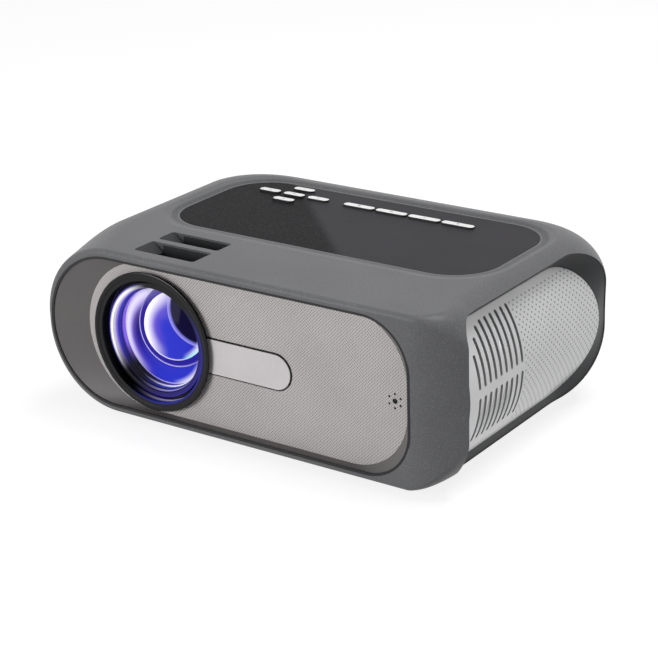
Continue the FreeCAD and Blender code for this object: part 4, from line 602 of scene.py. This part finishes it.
def baffle_finish(name):
    """Gloss black steps with painted reflections and a painted glow of the coating on their left
    and lower sides.
    """
    wiring = Finish(name, Specular_IOR_Level=0.2, Emission_Strength=0.30)
    place, along = lens_place(wiring)
    radius = wiring.vector("LENGTH", place)
    inward = wiring.minus(wiring.times(along, PER_METRE), radius)
    bands = wiring.ramp(wiring.span(inward, BANDS_START, LIGHT_END), LEFT_BANDS)
    lines = wiring.ramp(wiring.span(inward, LINES_START, LIGHT_END), LOWER_LINES)
    outward = wiring.vector("NORMALIZE", place)
    left = wiring.vector("DOT_PRODUCT", outward, (-0.95, 0.0, 0.31))
    left = wiring.step(left, 0.42, 0.90)
    low = wiring.vector("DOT_PRODUCT", outward, (0.80, 0.0, -0.60))
    low = wiring.step(low, 0.05, 0.80, 0.0, 0.90)
    within = wiring.step(radius, *LIGHT_EDGE, 1.0, 0.0)
    left, low = (wiring.times(side, within) for side in (left, low))
    tone = wiring.mix(left, wiring.mix(low, tone_of("gloss_black"), lines), bands)
    # Painted glow where the painted light lies.
    glow = wiring.mix(wiring.math("MAXIMUM", left, low), BLACK, tone)
    smear = wiring.noise(wiring.place(), 1 / 0.005, 3.0)
    return wiring.feed(Base_Color=tone, Emission_Color=glow,
                       Roughness=wiring.step(smear, 0.3, 0.8, 0.16, 0.28))


FINISHES = {
    "case_plastic": case_finish,
    "rim_plastic": partial(moulded_finish, tone="rim", grain=0.0007, roughness=0.48, shine=0.12),
    "bezel_plastic": partial(moulded_finish, tone="bezel", roughness=0.40, fleck_share=0.3,
                             shine=0.2),
    "grille_mesh": grille_finish,
    "badge_plastic": partial(moulded_finish, tone="badge", grain=0.0012, roughness=0.33,
                             relief=0.00001, fleck_share=0.15, coat=0.2),
    "gloss_black": partial(moulded_finish, tone="gloss_black", grain=0.0020, roughness=0.22,
                           relief=0.00001, fleck_share=0.2, shine=0.18),
    "black_plastic": partial(moulded_finish, tone="black", grain=0.0007, roughness=0.50,
                             shine=0.25),
    "deck_plastic": deck_finish,
    "key_plastic": partial(moulded_finish, tone="key", grain=0.0025, roughness=0.22, relief=0.00001,
                           fleck_share=0.1, coat=0.6),
    "silver_plastic": vent_finish,
    "rubber": partial(moulded_finish, tone="rubber", grain=0.0004, roughness=0.75, relief=0.00006),
    "brass": partial(metal_finish, tone="brass"),
    "steel": partial(metal_finish, tone="steel"),
    "aluminium": partial(metal_finish, tone="aluminium", roughness=0.34),
    "mirror": mirror_finish,
    "coated_glass": coated_glass_finish,
    "clear_glass": glass_finish,
    "lcd_glass": partial(glass_finish, tint=(0.10, 0.10, 0.13), clearness=0.6, roughness=0.08),
    "circuit_board": board_finish,
    "key_print": partial(moulded_finish, tone="mark", grain=0.0010, roughness=0.45, relief=0.00001),
    "lens_baffle": baffle_finish,
}


def finish(name):
    """The material of that name, made the first time it is asked for."""
    if name not in MADE_FINISHES:
        MADE_FINISHES[name] = FINISHES[name](f"{name}_finish")
    return MADE_FINISHES[name]


def dress(*names, look=None):
    """Give CAD nodes the finish that the record names for them, or the look that is asked for."""
    slots = {part["node"]: part["material_slot"] for part in frame["record"]["subparts"]}
    for name in names:
        for slot in frame["nodes"][name].material_slots:
            slot.material = finish(look or slots[name])
        DRESSED.add(name)


# Pieces --------------------------------------------------------------------------------------

def add_object(name, data):
    """Object with that data, placed in the scene."""
    made = bpy.data.objects.new(name, data)
    bpy.context.scene.collection.objects.link(made)
    return made


def mesh_data(name, mesh):
    """Mesh from a mesh in the making, which is used up."""
    data = bpy.data.meshes.new(name)
    mesh.to_mesh(data)
    mesh.free()
    return data


def make_piece(name, mesh, body, slot, look=None, smooth=True):
    """Object from a mesh in the making, which rides on a body and takes its finish from a slot."""
    bmesh.ops.recalc_face_normals(mesh, faces=mesh.faces)
    for face in mesh.faces:
        face.smooth = smooth
    data = mesh_data(name, mesh)
    data.materials.append(finish(look or slot))
    if smooth:
        data.set_sharp_from_angle(angle=SHARP_ANGLE)
    piece = add_object(name, data)
    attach(piece, body)


def bridge(mesh, first, second):
    """Join two loops of as many vertices with faces."""
    for number, (start, end) in enumerate(zip(first, second)):
        after = (number + 1) % len(first)
        mesh.faces.new((start, first[after], second[after], end))


def bridge_round(mesh, loops):
    """Join each loop to the next, and the last to the first."""
    for first, second in zip(loops, loops[1:] + loops[:1]):
        bridge(mesh, first, second)


def bridge_capped(mesh, loops):
    """Join each loop to the next, and close both ends."""
    for first, second in zip(loops, loops[1:]):
        bridge(mesh, first, second)
    mesh.faces.new(reversed(loops[0]))
    mesh.faces.new(loops[-1])


def ring(mesh, x, z, radius, along, count):
    """Circle of vertices round an axis that runs from front to back."""
    angles = [2 * math.pi * number / count for number in range(count)]
    return [mesh.verts.new((x + radius * math.cos(angle), along, z + radius * math.sin(angle)))
            for angle in angles]


def revolve(profile, x, z, count=128):
    """Ring from a closed profile of radii and places along an axis that runs from front to back."""
    mesh = bmesh.new()
    bridge_round(mesh, [ring(mesh, x, z, radius, along, count) for radius, along in profile])
    return mesh


def pill_outline(centre, half_length, radius, segments=12):
    """Points round a shape with straight sides and round ends, in the plane of the deck."""
    points = []
    for sign, start in ((1, -90), (-1, 90)):
        for number in range(segments + 1):
            angle = math.radians(start + 180 * number / segments)
            points.append((centre.x + sign * (half_length - radius) + radius * math.cos(angle),
                           centre.y + radius * math.sin(angle)))
    return points


def stack(mesh, outlines):
    """Closed body from a pile of outlines, each with its height."""
    bridge_capped(mesh, [[mesh.verts.new((x, y, height)) for x, y in points]
                         for points, height in outlines])
    return mesh


def slab(low, high, ease=0.0, mesh=None):
    """Box between two corners with its edges eased, in the mesh that is given or a new one."""
    target = mesh or bmesh.new()
    made = bmesh.ops.create_cube(target, size=1.0)["verts"]
    middle, span = (Vector(low) + Vector(high)) / 2, Vector(high) - Vector(low)
    bmesh.ops.scale(target, vec=span, verts=made)
    bmesh.ops.translate(target, vec=middle, verts=made)
    if ease:
        edges = {edge for vert in made for edge in vert.link_edges}
        bmesh.ops.bevel(target, geom=list(edges), offset=ease, segments=2, affect="EDGES")
    return target


def edge_band(node, inner, outer, front, back):
    """Thin band round the front outline of a node, between two reaches out and two depths."""
    face_depth, least_step = 0.3 * MM, 0.05 * MM
    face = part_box(node)[0].y
    flat = [Vector((vert.co.x, vert.co.z)) for vert in frame["nodes"][node].data.vertices
            if vert.co.y < face + face_depth]
    outline = [flat[number] for number in geometry.convex_hull_2d(flat)]
    outline = [point for point, last in zip(outline, outline[-1:] + outline[:-1])
               if (point - last).length > least_step]
    middle = sum(outline, Vector((0.0, 0.0))) / len(outline)
    mesh = bmesh.new()
    loops = [[] for _ in range(4)]
    for number, point in enumerate(outline):
        along = (outline[(number + 1) % len(outline)] - outline[number - 1]).normalized()
        out = Vector((along.y, -along.x))
        if out.dot(point - middle) < 0:
            out.negate()
        corners = ((inner, back), (inner, front), (outer, front), (outer, back))
        for loop, (reach, depth) in zip(loops, corners):
            place = point + reach * out
            loop.append(mesh.verts.new((place.x, face + depth, place.y)))
    bridge_round(mesh, loops)
    return mesh


def centre_of(node):
    low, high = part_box(node)
    return (low + high) / 2


class PieceOperator:
    """What every operator of this file shares."""
    bl_options = {"REGISTER", "UNDO"}


class PROJECTOR_OT_case(PieceOperator, bpy.types.Operator):
    """Dress the main moulding, the side rims and the underside"""
    bl_idname = "projector.case"
    bl_label = "Case"

    def execute(self, context):
        dress("housing", "left_rim", "right_rim", "bottom_cover", "tripod_insert", "cover_screws",
              "foot_front_left", "foot_front_right", "foot_rear_left", "foot_rear_right")
        long, short = sizes().cross_length / 2, sizes().cross_length / 8
        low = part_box("cover_screws")[0].z
        # Painted shade: a thin dark cross on each screw head stands for the shade in its cross
        # recess.
        for number, place in enumerate(self.screw_places()):
            mesh = bmesh.new()
            for reach_x, reach_y, proud in ((long, short, 0.04 * MM), (short, long, 0.05 * MM)):
                slab((place.x - reach_x, place.y - reach_y, low - proud),
                     (place.x + reach_x, place.y + reach_y, low + 0.2 * MM), mesh=mesh)
            make_piece(f"screw_cross_shade_{number + 1}", mesh, "case", "black_plastic", smooth=False)
        return {"FINISHED"}

    @staticmethod
    def screw_places():
        """Middle of each screw, found from the islands of the node's mesh."""
        screw_width = 8 * MM
        places = []
        for vert in frame["nodes"]["cover_screws"].data.vertices:
            for group in places:
                if (group[0] - vert.co).xy.length < screw_width:
                    group.append(vert.co.copy())
                    break
            else:
                places.append([vert.co.copy()])
        return [sum(group, Vector()) / len(group) for group in places]


class PROJECTOR_OT_front(PieceOperator, bpy.types.Operator):
    """Dress the front, and add its gasket, receiver window, badge edge and lens bead"""
    bl_idname = "projector.front"
    bl_label = "Front"

    def execute(self, context):
        dress("front_bezel", "front_grille", "badge_plate", "ir_receiver", "speaker")
        # The lens ring takes the baffle's painted reflections and painted glow.
        dress("lens_ring", look="lens_baffle")
        self.add_bead()
        width = sizes().gasket_width
        band = edge_band("front_bezel", -width, 0.3 * MM, -0.35 * MM, 0.4 * MM)
        make_piece("bezel_gasket", band, "case", "black_plastic", smooth=False)
        self.add_receiver_window()
        band = edge_band("badge_plate", -0.1 * MM, 0.4 * width, 0.1 * MM, 0.8 * MM)
        make_piece("badge_edge", band, "case", "black_plastic", smooth=False)
        return {"FINISHED"}

    @staticmethod
    def add_bead():
        """Rounded bead on the front face of the lens ring, with the baffle's painted reflections
        and glow.
        """
        outer = (RING_HIGH.x - RING_LOW.x) / 2
        inner = outer - 2.4 * MM
        face, rise = RING_LOW.y, sizes().ring_bead
        profile = (
            (outer - 0.4 * MM, face + 0.6 * MM), (outer - 0.02 * MM, face + 0.1 * MM),
            (outer - 0.2 * MM, face - 0.6 * rise), (outer - 0.8 * MM, face - rise),
            (inner + 0.8 * MM, face - rise), (inner + 0.2 * MM, face - 0.6 * rise),
            (inner - 0.02 * MM, face + 0.1 * MM), (inner + 0.4 * MM, face + 0.6 * MM))
        make_piece("lens_ring_bead", revolve(profile, LENS_X, LENS_Z), "case", "gloss_black",
                   look="lens_baffle")

    @staticmethod
    def add_receiver_window():
        """Dark window of the remote control's receiver, with six dots round it."""
        middle, face = centre_of("ir_receiver"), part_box("front_grille")[0].y
        spots = [(0.0, 0.0, sizes().window_radius)]
        for turn in range(6):
            angle = math.radians(30 + 60 * turn)
            spots.append((sizes().dot_ring * math.cos(angle), sizes().dot_ring * math.sin(angle),
                          sizes().dot_radius))
        mesh = bmesh.new()
        for x, z, radius in spots:
            profile = ((radius, 0.2 * MM), (radius, -0.03 * MM), (0.85 * radius, -0.1 * MM))
            bridge_capped(mesh, [ring(mesh, middle.x + x, middle.z + z, reach, face + along, 24)
                                 for reach, along in profile])
        make_piece("receiver_window", mesh, "case", "gloss_black")


class PROJECTOR_OT_lens(PieceOperator, bpy.types.Operator):
    """Dress the lens and its barrel, and build the baffle steps in front of the glass"""
    bl_idname = "projector.lens"
    bl_label = "Lens"

    def execute(self, context):
        dress("lens_barrel", "front_lens", "middle_lens", "rear_lens", "lens_cradle",
              "lens_bracket")
        # The retainer and the steps take the baffle's painted reflections and painted glow.
        dress("lens_retainer", look="lens_baffle")
        lens_low, lens_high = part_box("front_lens")
        barrel_low, barrel_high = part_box("lens_barrel")
        outer = (lens_high.x - lens_low.x) / 2 + 0.03 * MM
        inner = outer - 1.6 * MM
        lip = (barrel_high.x - barrel_low.x) / 2 - 0.1 * MM
        front = barrel_low.y - 0.25 * MM
        start, end = barrel_low.y + 0.2 * MM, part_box("lens_retainer")[0].y - 0.02 * MM
        under_lip = start - 0.22 * MM
        count = sizes().lens_steps
        run, drop = (end - start) / count, (outer - inner) / count
        profile = [(outer, end), (outer, under_lip), (lip, under_lip), (lip, front + 0.1 * MM),
                   (lip - 0.1 * MM, front), (outer - 0.15 * MM, front)]
        for number in range(count):
            radius = outer - 0.25 * MM - (number + 0.5) * drop
            profile += [(radius, start + (number + share) * run) for share in (0.15, 0.9)]
        profile.append((inner, end))
        make_piece("lens_baffle_steps", revolve(profile, LENS_X, LENS_Z), "barrel", "gloss_black",
                   look="lens_baffle")
        return {"FINISHED"}


class PROJECTOR_OT_deck(PieceOperator, bpy.types.Operator):
    """Dress the deck and build the crowned key caps with their marks"""
    bl_idname = "projector.deck"
    bl_label = "Deck and keys"

    # Corners of each mark in units of its half size; several shapes make one mark.
    ARROW = ((-0.6, -0.8), (0.9, 0.0), (-0.6, 0.8))
    DOT = tuple((math.cos(turn * math.pi / 6), math.sin(turn * math.pi / 6)) for turn in range(12))
    MARKS = {
        "left_key": [[(-x, y) for x, y in reversed(ARROW)]],
        "right_key": [ARROW],
        "up_key": [[(-y, x) for x, y in ARROW]],
        "down_key": [[(y, -x) for x, y in ARROW]],
        "ok_key": [[(0.7 * x, 0.7 * y) for x, y in DOT]],
        "source_key": [((-1.2, -0.7), (1.2, -0.7), (1.2, 0.7), (-1.2, 0.7))],
        "menu_key": [((-1.1, low), (1.1, low), (1.1, low + 0.3), (-1.1, low + 0.3))
                     for low in (-0.9, -0.15, 0.6)],
        "back_key": [((-1.0, 0.0), (0.0, -0.9), (0.0, 0.9)),
                     ((0.0, -0.25), (1.2, -0.25), (1.2, 0.25), (0.0, 0.25))],
        "power_key": [[(0.9 * x, 0.9 * y) for x, y in DOT]],
    }

    # From the foot up, how far a cap's outline stands in, in mm, and its share of the rise.
    CROWN = ((0.0, 0.5), (0.0, 0.90), (0.10, 0.96), (0.35, 1.0))
    CAP_GAP = 0.0001

    def execute(self, context):
        dress("deck_panel", "key_board")
        rise, radius, half = sizes().key_rise, sizes().key_width / 2, sizes().key_mark
        mark_heights = [DECK_TOP + rise + proud for proud in (-0.05 * MM, 0.03 * MM)]
        for key, shapes in self.MARKS.items():
            dress(key, look="black_plastic")
            low, high = self.seen_corners(key)
            centre, half_length = (low + high) / 2, (high.x - low.x) / 2
            centre.y += (high.y - low.y) / 2 - radius - self.CAP_GAP
            half_length -= self.CAP_GAP
            outlines = [(pill_outline(centre, half_length - inset * MM, radius - inset * MM),
                         DECK_TOP + share * rise) for inset, share in self.CROWN]
            make_piece(f"{key}_cap", stack(bmesh.new(), outlines), key, "key_plastic")
            mesh = bmesh.new()
            for corners in shapes:
                outline = [(centre.x + x * half, centre.y + y * half) for x, y in corners]
                stack(mesh, [(outline, height) for height in mark_heights])
            make_piece(f"{key}_mark", mesh, key, "key_plastic", look="key_print", smooth=False)
        return {"FINISHED"}

    @staticmethod
    def seen_corners(key):
        """Lowest and highest corners of the part of a key that stands out of the deck."""
        points = [vert.co for vert in frame["nodes"][key].data.vertices if vert.co.z > DECK_TOP]
        return [Vector([pick(point[axis] for point in points) for axis in range(3)])
                for pick in (min, max)]


class PROJECTOR_OT_wheels(PieceOperator, bpy.types.Operator):
    """Dress the focus and keystone wheels, and build the finger ramps and thin walls in their
    wells, dark as painted shade
    """
    bl_idname = "projector.wheels"
    bl_label = "Wheels"

    # Front and rear side of each well, and the left and right ends that both share.
    WELLS = {"focus": (-0.0699, -0.0571), "keystone": (-0.05365, -0.04335)}
    WELL_LEFT, WELL_RIGHT = -0.0577, -0.0259
    RAMP_STEPS, RAMP_CURVE = 8, 1.3

    def execute(self, context):
        dress("focus_wheel", "keystone_wheel")
        for wheel, (near, far) in self.WELLS.items():
            # Painted shade: the ramps and the thin walls take the dark rim plastic where the wells
            # lie in shade.
            make_piece(f"{wheel}_well_ramp", self.ramp(near, far), "case", "rim_plastic")
            make_piece(f"{wheel}_well_shade_walls", self.liner(near, far), "case", "rim_plastic",
                       smooth=False)
        return {"FINISHED"}

    def ramp(self, near, far):
        """Sloping plate at the left end of a well, steeper towards the wheel."""
        thick, steps = 0.8 * MM, self.RAMP_STEPS
        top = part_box("housing")[1].z - 0.1 * MM
        shares = [0.0] + [number / steps for number in range(steps + 1)]
        section = [(self.WELL_LEFT + share * sizes().ramp_length,
                    top - sizes().ramp_drop * share ** self.RAMP_CURVE) for share in shares]
        section += [(x, z - thick) for x, z in reversed(section)]
        mesh = bmesh.new()
        loops = [[mesh.verts.new((x, y, z)) for x, z in section] for y in (near, far)]
        bridge(mesh, *loops)
        for loop in loops:
            for number in range(steps):
                mesh.faces.new((loop[number], loop[number + 1],
                                loop[-number - 2], loop[-number - 1]))
        return mesh

    def liner(self, near, far):
        """Thin dark walls on three sides of a well, to the right of its ramp, painted shade in the
        well.
        """
        skin, top = 0.3 * MM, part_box("housing")[1].z
        low, high = top - 5.5 * MM, top - 0.9 * MM
        left, right = self.WELL_LEFT + sizes().ramp_length, self.WELL_RIGHT
        mesh = bmesh.new()
        for start, end in (((left, far - skin), (right, far)), ((left, near), (right, near + skin)),
                           ((right - skin, near), (right, far))):
            slab((*start, low), (*end, high), mesh=mesh)
        return mesh


class PROJECTOR_OT_vents(PieceOperator, bpy.types.Operator):
    """Dress the barrel-shaped side panels, and build dark sheets behind their slots, as painted
    shade
    """
    bl_idname = "projector.vents"
    bl_label = "Side panels"

    def execute(self, context):
        dress("left_vent_panel", "right_vent_panel")
        for side, sign in (("left", -1), ("right", 1)):
            low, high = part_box(f"{side}_vent_panel")
            reach = high.x if sign > 0 else low.x
            mesh = self.barrel_sheet(reach, sign, low.y + 6 * MM, low.y + sizes().slots_reach)
            # Painted shade: a dark sheet just behind the slots makes them show dark.
            make_piece(f"{side}_slot_shade", mesh, "case", "black_plastic")
        return {"FINISHED"}

    @staticmethod
    def barrel_sheet(reach, sign, near, far):
        """Thin curved dark sheet that follows the inside of a side panel, painted shade behind the
        slots.
        """
        depth, thick, half_height, strips = 1.0 * MM, 0.3 * MM, 29 * MM, 32
        centre = reach - sign * sizes().panel_round
        outer = sizes().panel_round - depth
        inner = outer - thick
        corners = ((outer, near), (outer, far), (inner, far), (inner, near))
        widest = math.asin(half_height / outer)
        mesh = bmesh.new()
        loops = []
        for number in range(strips + 1):
            angle = widest * (2 * number / strips - 1)
            loops.append([mesh.verts.new((centre + sign * radius * math.cos(angle), y,
                                          PANEL_MIDDLE + radius * math.sin(angle)))
                          for radius, y in corners])
        bridge_capped(mesh, loops)
        return mesh


class PROJECTOR_OT_ports(PieceOperator, bpy.types.Operator):
    """Dress the rear sockets and build their tongues, contacts and collars"""
    bl_idname = "projector.ports"
    bl_label = "Rear ports"

    # Width, thickness and number of contacts of each tongue.
    TONGUES = {"hdmi_socket": (0.0100, 0.0012, 9), "usb_socket": (0.0090, 0.0018, 4)}
    # Radius of a jack's collar and how far it stands out of the socket, in millimetres.
    COLLAR = ((1.9, -0.2), (1.9, 0.25), (2.2, 0.4), (2.7, 0.4), (3.0, 0.2), (3.0, -0.2))

    def execute(self, context):
        dress("port_panel", "hdmi_socket", "usb_socket", "av_jack", "phone_jack", "power_inlet",
              "main_board")
        for socket, (width, thick, contacts) in self.TONGUES.items():
            self.add_tongue(socket, width, thick, contacts)
        for jack in ("av_jack", "phone_jack"):
            middle, face = centre_of(jack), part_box(jack)[1].y
            profile = [(radius * MM, face + proud * MM) for radius, proud in self.COLLAR]
            make_piece(f"{jack}_collar", revolve(profile, middle.x, middle.z, 48), "case", "steel")
        return {"FINISHED"}

    @staticmethod
    def add_tongue(socket, width, thick, contacts):
        """Moulded tongue in a socket, with a row of contacts on its upper face."""
        low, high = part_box(socket)
        middle = centre_of(socket)
        front, back, top = high.y - 1.5 * MM, low.y + 0.8 * MM, middle.z + thick / 2
        tongue = slab((middle.x - width / 2, back, middle.z - thick / 2),
                      (middle.x + width / 2, front, top), ease=0.2 * MM)
        make_piece(f"{socket}_tongue", tongue, "case", "black_plastic", smooth=False)
        rail = bmesh.new()
        half = sizes().contact_width / 2
        for number in range(contacts):
            x = middle.x + width * ((number + 0.5) / contacts - 0.5)
            slab((x - half, back + MM, top - 0.1 * MM),
                 (x + half, front - 0.6 * MM, top + 0.12 * MM), mesh=rail)
        make_piece(f"{socket}_contacts", rail, "case", "brass", smooth=False)


class PROJECTOR_OT_works(PieceOperator, bpy.types.Operator):
    """Dress the light engine, the fan and the boards inside"""
    bl_idname = "projector.works"
    bl_label = "Inside parts"

    def execute(self, context):
        dress("light_box", "fold_mirror", "front_fresnel", "lcd_panel", "rear_fresnel",
              "heat_glass", "condenser_lens", "led_module", "heat_sink", "fan_frame", "fan_rotor",
              "power_board")
        return {"FINISHED"}


class PROJECTOR_OT_stage(PieceOperator, bpy.types.Operator):
    """Build the pale floor, the soft lamps, the room light and the camera"""
    bl_idname = "projector.stage"
    bl_label = "Stage"

    # Name, place, width, and the light on a surface that faces it; at 1, colours show as written.
    LAMPS = (
        ("top_lamp", (0.25, 0.20, 1.15), 0.6, 0.66),
        ("side_lamp", (1.55, 0.60, 0.06), 0.8, 0.45),
        ("front_lamp", (-0.75, -1.60, 0.40), 0.9, 0.68),
    )

    def execute(self, context):
        settings = studio()
        context.scene.view_settings.view_transform = "Standard"
        self.add_floor(settings)
        target = Vector((0.0, 0.0, centre_of("housing").z))
        for name, place, width, level in self.LAMPS:
            self.add_lamp(name, Vector(place), target, width, level)
        self.light_room(settings)
        self.add_camera(settings)
        return {"FINISHED"}

    @staticmethod
    def seen_directly(wiring):
        """1 for rays that show the stage in the view, in a reflection or through glass."""
        path = wiring.add("ShaderNodeLightPath").outputs
        gloss = wiring.math("MAXIMUM", path["Is Glossy Ray"], path["Is Transmission Ray"])
        return wiring.math("MAXIMUM", path["Is Camera Ray"], gloss)

    def add_floor(self, settings):
        """Pale floor that shows nearly white, and darker only where the object's shadow falls."""
        mesh = bmesh.new()
        bmesh.ops.create_grid(mesh, x_segments=8, y_segments=8, size=settings.floor_size / 2)
        floor = add_object("floor", mesh_data("floor", mesh))
        paint = Finish("floor_paint", Roughness=0.9, Specular_IOR_Level=0.0)
        mottle = paint.noise(paint.place(), 1 / 0.4)
        paint.feed(Base_Color=paint.mix(mottle, rgba((0.52,) * 3), rgba((0.56,) * 3)))
        glow = paint.add("ShaderNodeEmission", {"Color": WHITE, "Strength": settings.floor_glow})
        # What the lamps add to the glow, so that both come to a little over white.
        rest = 1.1 - settings.floor_glow
        shaded = paint.add("ShaderNodeBsdfDiffuse", {"Color": rgba((rest,) * 3)})
        lit = paint.add("ShaderNodeAddShader", {0: glow.outputs[0], 1: shaded.outputs[0]})
        blend = paint.add("ShaderNodeMixShader", {
            0: self.seen_directly(paint), 1: paint.shader.outputs[0], 2: lit.outputs[0]})
        paint.link(blend.outputs[0], paint.tree.nodes["Material Output"].inputs["Surface"])
        floor.data.materials.append(paint.material)

    @staticmethod
    def add_lamp(name, place, target, width, level):
        """Square lamp whose power gives that level at the target."""
        data = bpy.data.lights.new(name, "AREA")
        data.shape = "SQUARE"
        data.size = width
        data.energy = level * math.pi ** 2 * (place - target).length_squared
        lamp = add_object(name, data)
        lamp.location = place
        lamp.rotation_euler = (target - place).to_track_quat("-Z", "Y").to_euler()

    def light_room(self, settings):
        """White behind the object, and an even light from all sides."""
        world = bpy.data.worlds.new("room")
        world.use_nodes = True
        bpy.context.scene.world = world
        wiring = Wiring(world.node_tree)
        background = world.node_tree.nodes["Background"]
        background.inputs["Color"].default_value = WHITE
        strength = wiring.span(self.seen_directly(wiring), 0.0, 1.0, settings.room_light, 1.0)
        wiring.link(strength, background.inputs["Strength"])

    @staticmethod
    def add_camera(settings):
        """Camera at its place, turned by its angles."""
        data = bpy.data.cameras.new("studio_camera")
        data.lens = settings.focal_length
        data.clip_start = 0.01
        camera = add_object("studio_camera", data)
        camera.matrix_world = (
            Matrix.Translation(settings.place)
            @ Matrix.Rotation(settings.azimuth, 4, "Z")
            @ Matrix.Rotation(math.pi / 2 - settings.elevation, 4, "X")
            @ Matrix.Rotation(settings.roll, 4, "Z"))
        bpy.context.scene.camera = camera


PIECE_OPERATORS = (PROJECTOR_OT_case, PROJECTOR_OT_front, PROJECTOR_OT_lens, PROJECTOR_OT_deck,
                   PROJECTOR_OT_wheels, PROJECTOR_OT_vents, PROJECTOR_OT_ports, PROJECTOR_OT_works,
                   PROJECTOR_OT_stage)


class PROJECTOR_PT_build(bpy.types.Panel):
    """Lists the projector's pieces and what can be changed"""
    bl_label = "Projector"
    bl_idname = "PROJECTOR_PT_build"
    bl_space_type = "VIEW_3D"
    bl_region_type = "UI"
    bl_category = "Projector"

    def draw(self, context):
        layout = self.layout
        for operator in PIECE_OPERATORS:
            layout.operator(operator.bl_idname)
        for group in (sizes(), colours(), studio()):
            box = layout.box()
            for label in group.__annotations__:
                box.prop(group, label)


PROPERTY_GROUPS = {"projector_sizes": ProjectorSizes, "projector_colours": ProjectorColours,
                   "projector_studio": ProjectorStudio}


def register():
    for group in PROPERTY_GROUPS.values():
        bpy.utils.register_class(group)
    for operator in PIECE_OPERATORS:
        bpy.utils.register_class(operator)
    bpy.utils.register_class(PROJECTOR_PT_build)
    for label, group in PROPERTY_GROUPS.items():
        setattr(bpy.types.Scene, label, PointerProperty(type=group))


def unregister():
    for label in PROPERTY_GROUPS:
        delattr(bpy.types.Scene, label)
    bpy.utils.unregister_class(PROJECTOR_PT_build)
    for operator in reversed(PIECE_OPERATORS):
        bpy.utils.unregister_class(operator)
    for group in PROPERTY_GROUPS.values():
        bpy.utils.unregister_class(group)


def main():
    """Build every piece in order."""
    register()
    for operator in PIECE_OPERATORS:
        area, action = operator.bl_idname.split(".")
        getattr(getattr(bpy.ops, area), action)()
    left_plain = sorted(set(frame["nodes"]) - DRESSED)
    if left_plain:
        raise RuntimeError(f"these nodes have no finish: {left_plain}")


if __name__ == "__main__":
    main()
